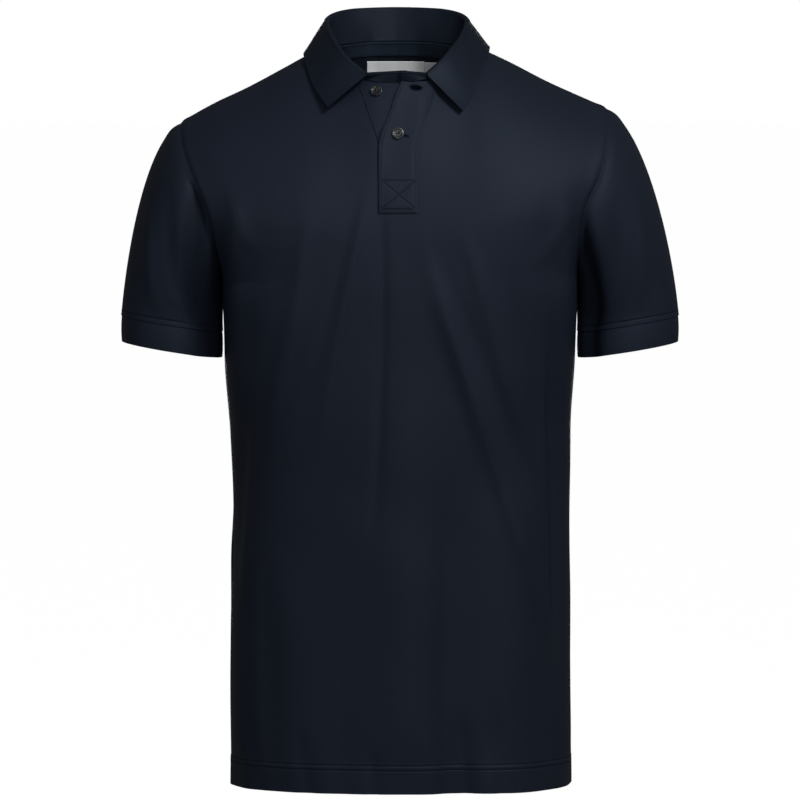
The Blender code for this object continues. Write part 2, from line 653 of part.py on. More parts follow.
def build_collar(base, base_normals):
    """Flat collar: a stand, a rounded fold and a leaf, over the whole neck seam."""
    count = len(base)
    tangent = unit(np.gradient(base, axis=0) * (1, 1, 0))
    outward = np.stack((-tangent[:, 1], tangent[:, 0], np.zeros(count)), axis=-1)
    outward *= np.where(np.sum(outward * (base - (NECK_CENTRE, 0, 0)), axis=-1) < 0, -1, 1)[:, None]
    shared = unit(base_normals + outward)
    across = mitre(base_normals, shared, BODY_WALL)

    seam = lengths(np.diff(base, axis=0))[:, 0]
    run = np.concatenate(([0.0], np.cumsum(seam)))
    start, end = run[TONGUE_COLUMNS], run[count - 1 - TONGUE_COLUMNS]
    middle = (start + end) / 2
    share = np.abs(run - middle) / ((end - start) / 2)
    sign = np.where(run < middle, -1.0, 1.0)
    on_left = (sign + 1) / 2
    extra = np.clip((share - 1) / (share.max() - 1), 0.0, 1.0)

    def place(key):
        out = look_up(COLLAR, key + "_out", "share", share)
        out = out + on_left * look_up(COLLAR_LEFT, key + "_out", "share", share)
        depth = look_up(COLLAR, key + "_depth", "share", share)
        height = look_up(COLLAR, key + "_height", "share", share)
        if key == "fold":
            out = out + (TONGUE_FOLD[0] - out) * extra
            depth = depth + (TONGUE_FOLD[1] - depth) * extra
            height = height + (TONGUE_FOLD[2] - height) * extra
        else:
            height = height + on_left * look_up(COLLAR_LEFT, "edge_height", "share", share)
        return np.stack((NECK_CENTRE + sign * out, depth, height), axis=-1)

    crest = place("fold")
    edge = place("edge")
    edge[:, 2] = np.maximum(edge[:, 2], body_height(edge[:, 0], edge[:, 1]) + LEAF_REST)
    along = unit(np.gradient(crest, axis=0) * (1, 1, 0))
    side = np.stack((-along[:, 1], along[:, 0], np.zeros(count)), axis=-1)
    side *= np.where(np.sum(side * (crest - (NECK_CENTRE, 0, 0)), axis=-1) < 0, -1, 1)[:, None]
    upward = np.array((0.0, 0.0, 1.0))
    hub = crest - upward * FOLD_RADIUS

    foot = base + across
    lower = hub - side * FOLD_RADIUS
    upper = hub + side * FOLD_RADIUS
    rows = []
    for step in np.linspace(0.0, 1.0, STAND_ROWS + 1)[:-1]:
        rows.append(foot + (lower - foot) * step)
    for turn in np.linspace(0.0, np.pi, ARC_ROWS + 1):
        rows.append(hub + FOLD_RADIUS * (upward * np.sin(turn) - side * np.cos(turn)))
    for step in np.linspace(0.0, 1.0, LEAF_ROWS + 1)[1:]:
        bow = side * LEAF_BOW * 4 * step * (1 - step)
        rows.append(upper + (edge - upper) * step + bow)
    grid = np.stack(rows)
    normals = grid_normals(grid)
    centre = np.array((NECK_CENTRE, 0.0, 0.0))
    if np.sum(normals[1] * (centre - grid[1])) < 0:
        normals = -normals
    inward = -normals * COLLAR_WALL
    inward[0] = -across
    lean = unit(np.cross(tangent, shared))
    lean *= np.where(lean[:, 2:] < 0, -1.0, 1.0)
    grid[0] += lean * SEAM_GAP

    cells = np.ones((len(grid) - 1, count - 1), bool)
    over_top = STAND_ROWS + ARC_ROWS // 2
    cells[over_top:, :TONGUE_COLUMNS] = False
    cells[over_top:, -TONGUE_COLUMNS:] = False
    cloth_wall("collar", grid, inward, "rib", keep=cells)
    return across


def neck_mitre(inward, across, front_count, back_count):
    """Gives the panels' top edges the collar's seam normal."""
    first, neck = COLUMNS["shoulder"], COLUMNS["neck"]
    start = TONGUE_COLUMNS
    back_columns = COLUMNS["back_neck"] - 1
    right = across[start:start + neck + 1]
    middle = across[start + neck + 1:start + neck + 1 + back_columns]
    left = across[start + neck + 1 + back_columns:start + 2 * neck + 2 + back_columns]
    inward["front"][-1, first:first + neck + 1] = right[::-1]
    inward["front"][-1, front_count - 1 - first - neck:front_count - first] = left[::-1]
    whole = np.concatenate((right[-1:], middle, left[:1]))
    inward["back"][-1, first:back_count - first] = whole[::-1]


def build_panels(moved, inward):
    front = moved["front"]
    cells = np.ones((front.shape[0] - 1, front.shape[1] - 1), bool)
    first = COLUMNS["shoulder"] + COLUMNS["neck"]
    cells[LOWER_ROWS + CHEST_ROWS:, first:first + COLUMNS["slit"]] = False
    cloth_wall("front", front, inward["front"], "pique", keep=cells)
    cloth_wall("back", moved["back"], inward["back"], "pique")


def strip_on_body(name, finish, edges, size, lift, wall, back=False):
    """Strip made from a panel's own surface, moved along its normal by the lift.

    The edges are functions: x of the two sides at a height, and height of the two ends at an x.
    """
    right, left, top, bottom = edges
    rows, columns = size
    up = np.linspace(0.0, 1.0, rows + 1)[:, None]
    over = np.linspace(0.0, 1.0, columns + 1)[None, :]
    z = top(np.zeros((rows + 1, columns + 1)))
    for _ in range(8):
        x = right(z) + (left(z) - right(z)) * over
        z = bottom(x) + (top(x) - bottom(x)) * up
    grid, normals = body_point(x, z, back, lift)
    if back:
        grid, normals = grid[:, ::-1], normals[:, ::-1]
    cloth_wall(name, grid, -normals * wall, finish)


def level(height):
    return lambda other: height + 0 * other


def neckline_height(x, face):
    return look_up(NECKLINE, face, "out", np.abs(x - NECK_CENTRE))


def build_plackets():
    """Under placket in the slit, level with the front, and the top placket over both."""
    under = (lambda z: PLACKET_RIGHT - opened(z) + SEAM_GAP,
             lambda z: np.minimum(PLACKET_LEFT - opened(z),
                                  PLACKET_LEFT - PLACKET_LAP + opened(z) - SEAM_GAP),
             lambda x: neckline_height(x, "front") - SEAM_GAP,
             level(SLIT_END + SEAM_GAP))
    over = (lambda z: PLACKET_RIGHT + opened(z),
            lambda z: PLACKET_LEFT + opened(z),
            lambda x: neckline_height(x, "front") - SEAM_GAP,
            level(PLACKET_END))
    strip_on_body("placket_under", "pique", under, PLACKET_GRID, 0.0, PLACKET_WALL)
    lift = SEAM_GAP + PLACKET_WALL
    strip_on_body("placket_top", "pique", over, PLACKET_GRID, lift, PLACKET_WALL)


def build_trim():
    """Neck tape and labels against the inner surface of the back."""
    lift = -(BODY_WALL + TRIM_CLEAR)
    tape = (level(NECK_CENTRE - TAPE_REACH), level(NECK_CENTRE + TAPE_REACH),
            lambda x: neckline_height(x, "back") - TAPE_DROP,
            lambda x: neckline_height(x, "back") - TAPE_DROP - TAPE_HEIGHT)
    strip_on_body("neck_tape", "tape", tape, TAPE_GRID, lift, TRIM_WALL, back=True)
    for name, place, size in (("label", LABEL, LABEL_GRID), ("size_tab", SIZE_TAB, SIZE_TAB_GRID)):
        edges = tuple(level(place[key]) for key in ("right", "left", "top", "bottom"))
        strip_on_body(name, "label", edges, size, lift, TRIM_WALL, back=True)


def build_button(name, place, lift):
    """Turned button with a raised rim and a dished face, laid on the placket."""
    radius = BUTTON_RADIUS * np.array(BUTTON_PROFILE["radius"])
    radius = radius - BUTTON_RIM * np.array(BUTTON_PROFILE["rim"])
    height = BUTTON_HEIGHT * np.array(BUTTON_PROFILE["height"])
    height[0] -= BUTTON_DISH
    mesh = bpy.data.meshes.new(name)
    points = [(0.0, 0.0, height[0])]
    points += [(out, 0.0, up) for out, up in zip(radius, height)]
    points.append((0.0, 0.0, 0.0))
    mesh.from_pydata(points, [(k, k + 1) for k in range(len(points) - 1)], [])
    button = add_object(name, mesh, "button")
    turn = button.modifiers.new("turn", "SCREW")
    turn.axis = "Z"
    turn.steps = turn.render_steps = BUTTON_STEPS
    turn.use_merge_vertices = True
    turn.merge_threshold = 0.00001
    turn.use_smooth_shade = False
    point, normal = body_point(place[0], place[1], False, lift + SEAM_GAP)
    rotation = Vector(normal).to_track_quat("Z", "Y").to_matrix().to_4x4()
    button.matrix_world = Matrix.Translation(Vector(point)) @ rotation


def main():
    for item in list(bpy.data.objects):
        bpy.data.objects.remove(item)
    collection = bpy.data.collections.new(NAME)
    bpy.context.scene.collection.children.link(collection)

    front, front_normals, back, back_normals, moved, inward = build_body_and_sleeves()
    base, base_normals = neck_base(front, front_normals, back, back_normals)
    across = build_collar(base, base_normals)
    neck_mitre(inward, across, front.shape[1], back.shape[1])
    build_panels(moved, inward)
    build_plackets()
    build_trim()
    build_button("button_upper", UPPER_BUTTON, 0.0)
    build_button("button_lower", LOWER_BUTTON, SEAM_GAP + PLACKET_WALL)


main()
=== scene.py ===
import math
import bpy
import numpy as np
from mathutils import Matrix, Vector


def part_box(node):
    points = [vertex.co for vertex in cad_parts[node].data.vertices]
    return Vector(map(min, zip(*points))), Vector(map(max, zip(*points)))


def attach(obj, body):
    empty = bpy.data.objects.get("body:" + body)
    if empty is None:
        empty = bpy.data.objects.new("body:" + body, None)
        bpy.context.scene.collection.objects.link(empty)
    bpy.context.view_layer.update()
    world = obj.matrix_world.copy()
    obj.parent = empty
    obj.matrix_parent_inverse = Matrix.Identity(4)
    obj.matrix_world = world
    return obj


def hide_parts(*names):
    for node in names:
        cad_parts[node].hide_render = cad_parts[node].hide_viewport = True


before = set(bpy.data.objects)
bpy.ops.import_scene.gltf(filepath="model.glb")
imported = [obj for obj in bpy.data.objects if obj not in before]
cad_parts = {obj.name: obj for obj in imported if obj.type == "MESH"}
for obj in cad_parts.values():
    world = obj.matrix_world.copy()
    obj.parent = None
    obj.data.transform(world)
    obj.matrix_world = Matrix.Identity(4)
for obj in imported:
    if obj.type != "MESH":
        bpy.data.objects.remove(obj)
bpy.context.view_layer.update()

# A short-sleeved polo shirt, filled out as if worn, with its upper button undone.
# +Z is up, the chest faces -Y, +X is the wearer's left; right and left are the wearer's.
print("frame:", len(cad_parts), "nodes")
tau = 2 * math.pi


# metres from millimetres
def mm(*values):
    return tuple(value / 1000 for value in values)


# walls and seams that the pieces share
cloth = {
    "bodyWall": 0.0014, "cuffWall": 0.0020, "collarWall": 0.0023, "placketWall": 0.0016,
    "trimWall": 0.0007, "seamGap": 0.0003, "trimClear": 0.0007,
    "mitreMost": 1.45, "mitreFacing": 0.3, "slopeStep": 0.0005,
    "edgeRound": 0.00045, "edgeSegments": 2, "edgeAngle": math.radians(50),
}

# body: half widths on each side and depths of front and back at each height
body = {
    "hem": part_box("front")[0].z, "underarm": -0.235, "shoulderRound": 1.7,
    "neckCentre": -0.003, "neckReach": 0.070, "guideSpread": 0.014, "guideTop": -0.100,
    "height": mm(-742, -600, -450, -318, -235, -180, -100, 0, 60),
    "right": mm(169, 169, 168, 172, 174.5, 174.5, 174.5, 174.5, 174.5),
    "left": mm(171, 170, 170, 171, 174.5, 174.5, 174.5, 174.5, 174.5),
    "front": mm(116, 116.5, 119, 125, 128, 127, 124, 122, 120),
    "back": mm(120, 116, 112, 118, 125, 128.5, 130, 128, 126),
    "squareAt": mm(-742, -450, -360, -300, -235, -205, -160, -100, 0),
    "square": (2.35, 2.35, 2.75, 3.10, 3.60, 3.55, 3.10, 2.55, 2.50),
}

# shoulder line by distance from the neck's middle, and the drop over which the cloth rounds
shoulder = {
    "out": mm(0, 20, 35, 50, 60, 70, 90, 110, 150, 180, 209.6, 216.1),
    "right": mm(45, 40, 25.5, 10, 2.5, -3.5, -13.5, -24.5, -45.8, -60, -76.5, -80.5),
    "left": mm(45, 40, 25.5, 10, 2.5, -3, -9.8, -19, -39.5, -53, -66, -69),
    "drop": mm(245, 238, 222, 205, 195, 186, 171, 157, 135, 121, 108, 105),
    "rightTip": mm(219.1, -80.5), "leftTip": mm(206.6, -66),
}

# armhole by the share of the way from the underarm point to the shoulder tip
armhole = {
    "share": (0.00, 0.02, 0.06, 0.15, 0.30, 0.45, 0.60, 0.75, 0.88, 1.00),
    "right": mm(174.5, 175.4, 177.2, 180.5, 186.8, 192.3, 200.5, 210.5, 216.5, 219.1),
    "left": mm(174.5, 174.8, 175.5, 176.8, 179.5, 184.8, 196.5, 203.5, 206, 206.6),
    "depth": (0.000, 0.100, 0.268, 0.488, 0.645, 0.712, 0.737, 0.750, 0.759, 0.766),
}

neckline = {
    "out": mm(0, 20, 35, 45, 55, 64, 70),
    "front": mm(-38, -38, -35, -31, -22.5, -11, -3.3),
    "back": mm(0.3, 0.1, -0.6, -1.6, -2.4, -2.8, -3.3),
}

# creases seen from the front, in millimetres: x and z of both ends, sideways bow, half width on the
# wearer's right of the line, rise of the cloth, and the share of that half width on the wearer's left
bodyCreases = {
    "front": (
        (11, -165, 183, -680, 1, 10.5, 6, 1),
        (30, -190, 156, -500, 0, 8, -2.4, 1),
        (57, -170, 122, -400, 4, 8, 3, 1.1),
        (108, -200, 137, -440, 3, 6.5, -2.4, 1),
        (-21, -100, -29, -520, 7, 5.5, -2.6, 1),
        (-26, -120, -88, -430, -2, 6, 2.6, 1),
        (-44, -150, -108, -410, 2, 6, -1.6, 1),
        (-88, -140, -139, -420, 5, 9, 3.8, 1),
        (7, -220, 3, -900, 0, 38, 6.4, 0.75),
        (47, -400, 45, -900, 2, 12, -7.5, 4.5),
        (118, -380, 119, -950, 0, 52, 11.5, 0.4),
        (-104, -500, -98, -800, 2, 20, 1.4, 1),
        (-138, -480, -124, -850, 3, 12, -2.2, 1.2),
        (-60, -560, -56, -800, 1, 12, -1.4, 1),
        (-160, -640, -132, -790, 0, 8, -2.8, 1),
        (-100, -670, -86, -790, 0, 8, -2.4, 1),
        (-27, -690, -24, -790, 0, 7, -2, 1),
        (56, -650, 70, -790, 0, 9, -3, 1),
        (92, -640, 106, -790, 0, 6, -1.8, 1),
    ),
    "back": (
        (-55, -190, -135, -420, -10, 16, -4.5, 1),
        (60, -170, 140, -390, 10, 13, -5, 1.5),
        (10, -230, -30, -470, 6, 18, -3, 1),
        (-100, -460, -80, -720, 0, 22, 3, 1),
        (60, -430, 75, -715, -4, 24, 3.5, 0.6),
        (-20, -215, -65, -330, 3, 8, -1.6, 1.3),
        (95, -250, 128, -350, 3, 7, 1.6, 1),
    ),
}
sideFade = (0.135, 0.166)
creaseFade = 0.32


# monotone cubic through the named values, held past its ends
def smoothCurve(at, places, values):
    places, values = np.asarray(places, float), np.asarray(values, float)
    widths = np.diff(places)
    slopes = np.diff(values) / widths
    before, after = slopes[:-1], slopes[1:]
    agree = before * after > 0
    inner = np.where(agree, 2 * before * after / np.where(agree, before + after, 1.0), 0.0)
    tangents = np.concatenate(([slopes[0]], inner, [slopes[-1]]))
    at = np.clip(np.asarray(at, float), places[0], places[-1])
    span = np.clip(np.searchsorted(places, at) - 1, 0, len(widths) - 1)
    t = (at - places[span]) / widths[span]
    start = (1 + 2 * t) * (1 - t) ** 2 * values[span] + t**2 * (3 - 2 * t) * values[span + 1]
    bend = t * (1 - t) ** 2 * tangents[span] - t**2 * (1 - t) * tangents[span + 1]
    return start + bend * widths[span]


def bySide(x, right, left):
    return np.where(np.asarray(x) < 0, right, left)


def lengthsOf(vectors):
    return np.linalg.norm(vectors, axis=-1, keepdims=True)


def unit(vectors):
    return vectors / np.maximum(lengthsOf(vectors), 1e-12)


def bell(distance, halfWidth):
    return np.exp(-((distance / halfWidth) ** 2))


def signOf(side):
    return -1.0 if side in ("right", "front") else 1.0


# shares from 0 to 1 in even steps
def evenly(steps):
    return np.linspace(0.0, 1.0, steps + 1)


def armholeShare(side, z):
    tip = shoulder[side + "Tip"][1]
    return np.clip((z - body["underarm"]) / (tip - body["underarm"]), 0.0, 1.0)


# distance of the side seam or the armhole seam from the middle plane
def armholeOut(side, z):
    seam = smoothCurve(z, body["height"], body[side])
    hole = smoothCurve(armholeShare(side, z), armhole["share"], armhole[side])
    return np.where(z <= body["underarm"], seam, hole)


# the ring is a rounded square: (x/reach)^square + (y/depth)^square = 1
def squareness(z):
    return smoothCurve(z, body["squareAt"], body["square"])


# half width at which the ring closes, so that the armhole seam lies at its share of the full depth
def ringReach(side, z):
    deep = smoothCurve(armholeShare(side, z), armhole["share"], armhole["depth"])
    return armholeOut(side, z) / (1 - deep ** squareness(z)) ** (1 / squareness(z))


def neckDistance(x):
    return np.abs(x - body["neckCentre"])


def shoulderHeight(x):
    out = neckDistance(x)
    return bySide(x, *(smoothCurve(out, shoulder["out"], shoulder[side]) for side in ("right", "left")))


def necklineHeight(x, face):
    return smoothCurve(neckDistance(x), neckline["out"], neckline[face])


# smooth step from 0 to 1
def easeOf(value):
    value = np.clip(value, 0.0, 1.0)
    return value**2 * (3 - 2 * value)


# each crease is a bell across its bowed line, fading to both ends
def creaseRise(x, z, creases):
    total = np.zeros(np.broadcast(x, z).shape)
    for *lengths, uneven in creases:
        x0, z0, x1, z1, bow, halfWidth, rise = mm(*lengths)
        span = np.hypot(x1 - x0, z1 - z0)
        wayX, wayZ = (x1 - x0) / span, (z1 - z0) / span
        share = ((x - x0) * wayX + (z - z0) * wayZ) / span
        inside = np.clip(share, 0.0, 1.0)
        aside = (z - z0) * wayX - (x - x0) * wayZ - bow * 4 * inside * (1 - inside)
        width = halfWidth * np.where(aside > 0, uneven, 1.0)
        total = total + rise * easeOf(np.minimum(inside, 1 - inside) / creaseFade) * bell(aside, width)
    return total


# ring depth, rounded over the shoulder, with the creases, which fade towards the side seams
def bodyDepth(x, z, face):
    reach = bySide(x, ringReach("right", z), ringReach("left", z))
    across = np.clip(1 - (np.abs(x) / reach) ** squareness(z), 0.0, 1.0) ** (1 / squareness(z))
    fallen = (shoulderHeight(x) - z) / smoothCurve(neckDistance(x), shoulder["out"], shoulder["drop"])
    fallen = np.clip(fallen, 0.0, 1.0)
    over = (1 - (1 - fallen) ** body["shoulderRound"]) ** (1 / body["shoulderRound"])
    start, end = sideFade
    fade = np.clip((end - np.abs(x)) / (end - start), 0.0, 1.0)
    rise = creaseRise(x, z, bodyCreases[face])
    return smoothCurve(z, body["height"], body[face]) * across * over + rise * fade


# height of the cloth above a point of the plan, found by halving
def bodyHeight(x, y):
    low, high = np.full(np.shape(x), placket["slitEnd"]), shoulderHeight(x)
    for step in range(30):
        middle = (low + high) / 2
        deep = np.where(y > 0, bodyDepth(x, middle, "back"), bodyDepth(x, middle, "front"))
        low = np.where(deep > np.abs(y), middle, low)
        high = np.where(deep > np.abs(y), high, middle)
    return high


# point and outward normal of the body's surface, moved out by the lift
def bodyPoint(x, z, face, lift=0.0):
    x, z, lift = np.broadcast_arrays(*(np.asarray(value, float) for value in (x, z, lift)))
    sign, step = signOf(face), cloth["slopeStep"]
    slopeX = (bodyDepth(x + step, z, face) - bodyDepth(x - step, z, face)) / (2 * step)
    slopeZ = (bodyDepth(x, z + step, face) - bodyDepth(x, z - step, face)) / (2 * step)
    normal = unit(np.stack((-slopeX, np.full_like(x, sign), -slopeZ), axis=-1))
    point = np.stack((x, sign * bodyDepth(x, z, face), z), axis=-1)
    return point + normal * lift[..., None], normal


# normals of a grid whose columns run to the right and rows run up, seen from outside
def gridNormals(points, wrap=False):
    if wrap:
        across = np.roll(points, -1, axis=1) - np.roll(points, 1, axis=1)
    else:
        across = np.gradient(points, axis=1)
    return unit(np.cross(across, np.gradient(points, axis=0)))


# distances along a grid's rows or columns, from its first one
def runAlong(points, axis):
    steps = lengthsOf(np.diff(points, axis=axis))[..., 0]
    start = np.zeros_like(np.take(steps, [0], axis=axis))
    return np.concatenate((start, np.cumsum(steps, axis=axis)), axis=axis)


# cloth coordinates in metres: along the rows from the middle column, up the columns from the edge
def clothMap(points, wrap=False, middle=0):
    if wrap:
        points = np.concatenate((points, points[:, :1]), axis=1)
    across = runAlong(points, 1)
    return np.stack((across - across[:, middle:middle + 1], runAlong(points, 0)), axis=-1)


# way from the outer to the inner surface at a seam, along the normal that both pieces share
def mitre(own, shared, wall):
    facing = np.sum(own * shared, axis=-1, keepdims=True)
    return -shared * wall * np.minimum(1 / np.maximum(facing, cloth["mitreFacing"]), cloth["mitreMost"])


def addObject(name, data):
    item = bpy.data.objects.new(name, data)
    bpy.context.scene.collection.objects.link(item)
    return item


def addPiece(name, points, faces, places=None):
    mesh = bpy.data.meshes.new(name)
    mesh.from_pydata(points.reshape(-1, 3).tolist(), [], faces)
    mesh.shade_smooth()
    if places is not None:
        mesh.uv_layers.new(name="cloth").uv.foreach_set("vector", places.astype(np.float32).ravel())
    return addObject(name, mesh)


# closed wall: the outer points, the same points moved inward, and a rim round every open edge
def clothShell(name, outer, inward, places, keep=None, wrap=False):
    index = np.arange(outer[..., 0].size).reshape(outer.shape[:2])
    count = index.size
    if wrap:
        index = np.concatenate((index, index[:, :1]), axis=1)
    keep = np.ones((len(index) - 1, len(index[0]) - 1), bool) if keep is None else keep

    def cornersOf(values):
        return values[:-1, :-1], values[:-1, 1:], values[1:, 1:], values[1:, :-1]

    corners, spots = cornersOf(index), cornersOf(places)
    quads = np.stack([corner[keep] for corner in corners], axis=1)
    quadPlaces = np.stack([spot[keep] for spot in spots], axis=1)
    beyond = np.pad(keep, 1)
    if wrap:
        beyond[:, 0], beyond[:, -1] = beyond[:, -2], beyond[:, 1]
    neighbours = (beyond[:-2, 1:-1], beyond[1:-1, 2:], beyond[2:, 1:-1], beyond[1:-1, :-2])
    faces, facePlaces = [quads, quads[:, ::-1] + count], [quadPlaces, quadPlaces[:, ::-1]]
    for side, neighbour in enumerate(neighbours):
        edge = keep & ~neighbour
        first, second = corners[side][edge], corners[(side + 1) % 4][edge]
        spotFirst, spotSecond = spots[side][edge], spots[(side + 1) % 4][edge]
        faces.append(np.stack((second, first, first + count, second + count), axis=1))
        facePlaces.append(np.stack((spotSecond, spotFirst, spotFirst, spotSecond), axis=1))
    faces, facePlaces = np.concatenate(faces), np.concatenate(facePlaces)
    used, number = np.unique(faces, return_inverse=True)
    points = np.concatenate((outer.reshape(-1, 3), (outer + inward).reshape(-1, 3)))[used]
    piece = addPiece(name, points, number.reshape(-1, 4).tolist(), facePlaces)
    rim = piece.modifiers.new("rolled edge", "BEVEL")
    rim.width = cloth["edgeRound"]
    rim.segments = cloth["edgeSegments"]
    rim.limit_method = "ANGLE"
    rim.angle_limit = cloth["edgeAngle"]
    rim.harden_normals = True
    return piece


# what every finished piece gets: its material, its body and its CAD node
def dress(piece, finish, slot, *nodes):
    piece.data.materials.append(materials[finish])
    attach(piece, "root")
    if nodes:
        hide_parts(*nodes)
    return piece


def makeCloth(name, grid, inward, finish, slot, node, keep=None, wrap=False, middle=0):
    dress(clothShell(name, grid, inward, clothMap(grid, wrap, middle), keep, wrap), finish, slot, node)


# front and back panels: grid steps, and the seam's dip with the soft ridge of its allowance beside it
panel = {
    "shoulderColumns": 46, "neckColumns": 18, "slitColumns": 12, "backNeckColumns": 46,
    "edgeShares": (0.972, 0.982, 0.990, 0.996, 1.0), "lastShare": 0.960,
    "hemRows": mm(0, 1.2, 4, 8, 12, 16, 20, 22.6, 23.5, 24.6, 27.3, 28.5, 29.7, 33),
    "lowerRows": 112, "chestRows": 26, "shoulderRows": 46, "chestSpread": 1.35, "shoulderSpread": 1.6,
    "seamDip": 0.0009, "seamHalfWidth": 0.0024, "ridge": 0.0005, "ridgeAt": 0.0065, "ridgeHalfWidth": 0.0040,
    "hemRise": 0.0005, "hemTop": 0.0285, "hemEase": 0.0012, "seamCalm": 0.006,
    "slow": 0.00045, "slowFrom": 0.04,
}
# hem waves and stitch pucker: rise, length and its sway, and the height they are at and its reach
hemWaves = {"rise": 0.0011, "length": 0.0125, "sway": 1.8, "swayLength": 0.047, "at": 0.006, "reach": 0.028}
hemPucker = {"rise": 0.00012, "length": 0.0013, "sway": 2, "swayLength": 0.011, "at": 0.026, "reach": 0.004}
# slow unevenness: weight, turns along x and z, sway, and the sway's own turns
slowSwells = ((1.0, 37, 19, 1.4, 0, 26), (0.7, -23, 44, 1.1, 31, 0))

placket = {
    "right": -0.0210, "left": 0.0172, "lap": 0.0057, "end": -0.1660, "slitEnd": -0.1360,
    "height": mm(-200, -105, -90, -80, -64, -50, -40, -29),
    "apart": mm(0, 0, 3, 6.5, 12.5, 17.5, 22, 28),
}


def opened(z):
    return smoothCurve(z, placket["height"], placket["apart"])


def neckGuide(side, z):
    risen = np.clip((z - body["hem"]) / (body["guideTop"] - body["hem"]), 0.0, 1.0)
    return body["neckCentre"] + signOf(side) * (body["neckReach"] + body["guideSpread"] * (1 - risen))


def slitEdge(side, z):
    if side == "right":
        return placket["right"] - opened(z)
    return placket["left"] - placket["lap"] + opened(z)


def ringAngle(side, x, z):
    return np.arcsin(np.clip(np.abs(x) / ringReach(side, z), 0.0, 1.0) ** (squareness(z) / 2))


# x of the grid columns: even in the ring's own angle between neck and armhole, even in x inside the neck
def columnX(strip, share, z, face):
    if strip in ("right", "left"):
        start = ringAngle(strip, neckGuide(strip, z), z)
        end = ringAngle(strip, armholeOut(strip, z), z)
        angle = start + (end - start) * share
        return signOf(strip) * ringReach(strip, z) * np.sin(angle) ** (2 / squareness(z))
    if face == "back":
        start, end = neckGuide("right", z), neckGuide("left", z)
    elif strip == "slit":
        start, end = slitEdge("right", z), slitEdge("left", z)
    else:
        side = "right" if strip == "neckRight" else "left"
        start, end = slitEdge(side, z), neckGuide(side, z)
    return start + (end - start) * share


# grid strips of a face from the wearer's right to the left, with the shares of their columns
def panelStrips(face):
    arm = np.concatenate((evenly(panel["shoulderColumns"]) * panel["lastShare"], panel["edgeShares"]))
    if face == "back":
        return ("right", arm[::-1]), ("middle", evenly(panel["backNeckColumns"])[1:-1]), ("left", arm)
    neck, slit = evenly(panel["neckColumns"])[:-1], evenly(panel["slitColumns"])[1:-1]
    return ("right", arm[::-1]), ("neckRight", neck[::-1]), ("slit", slit), ("neckLeft", neck), ("left", arm)


# height where each column ends, on the shoulder line or the neckline
def topHeight(strip, share, face):
    height = np.full(share.shape, neckline["front"][0])
    for step in range(40):
        x = columnX(strip, share, height, face)
        if strip in ("right", "left"):
            height = np.where(share == 1.0, shoulder[strip + "Tip"][1], shoulderHeight(x))
        else:
            height = necklineHeight(x, face)
    return height


# rows: fine ones in the hem, level ones to the slit's end, then fanning out to the top
def rowHeights(top):
    hem, underarm, slitEnd = body["hem"], body["underarm"], placket["slitEnd"]
    first = hem + np.array(panel["hemRows"])
    lower = np.linspace(first[-1], underarm, panel["lowerRows"] + 1)[1:-1]
    chest = evenly(panel["chestRows"])[:-1] ** panel["chestSpread"]
    upper = 1 - (1 - evenly(panel["shoulderRows"])) ** panel["shoulderSpread"]
    straight = np.concatenate((first, lower, underarm + (slitEnd - underarm) * chest))[:, None]
    return np.concatenate((straight + 0 * top, slitEnd + (top - slitEnd) * upper[:, None]))


lowerCount = len(panel["hemRows"]) + panel["lowerRows"] - 1
armColumns = panel["shoulderColumns"] + 1 + len(panel["edgeShares"])


# outer points of a face with its finer form, and the normals of its plain form
def panelGrid(face):
    blocks = []
    for strip, share in panelStrips(face):
        z = rowHeights(topHeight(strip, share, face))
        x = columnX(strip, share[None, :], z, face)
        blocks.append(np.stack((x, bodyDepth(x, z, face) * signOf(face), z), axis=-1))
    grid = np.concatenate(blocks, axis=1)
    if face == "back":
        grid = grid[:, ::-1]
    seams = seamPlaces(grid)
    grid[seams, 1] = 0.0
    normals = gridNormals(grid)
    normals[seams, 1] = 0.0
    normals = unit(normals)
    return finerForm(grid, normals, face), normals


# side seams and shoulder seams, which lie in the plane y = 0
def seamPlaces(grid):
    seams = np.zeros(grid.shape[:2], bool)
    seams[:lowerCount + 1, 0] = seams[:lowerCount + 1, -1] = True
    seams[-1, :armColumns] = seams[-1, -armColumns:] = True
    return seams


# near an edge the cloth dips into the seam, and its allowance lifts a soft ridge beside it
def seamRise(distance):
    ridge = panel["ridge"] * bell(distance - panel["ridgeAt"], panel["ridgeHalfWidth"])
    return ridge - panel["seamDip"] * bell(distance, panel["seamHalfWidth"])


# a wavy line along the hem, strongest at its own height
def hemSine(across, height, waves, phase=0.0):
    sway = waves["sway"] * np.sin(across / waves["swayLength"] + phase)
    near = bell(height - waves["at"], waves["reach"])
    return waves["rise"] * np.sin(across / waves["length"] + sway) * near


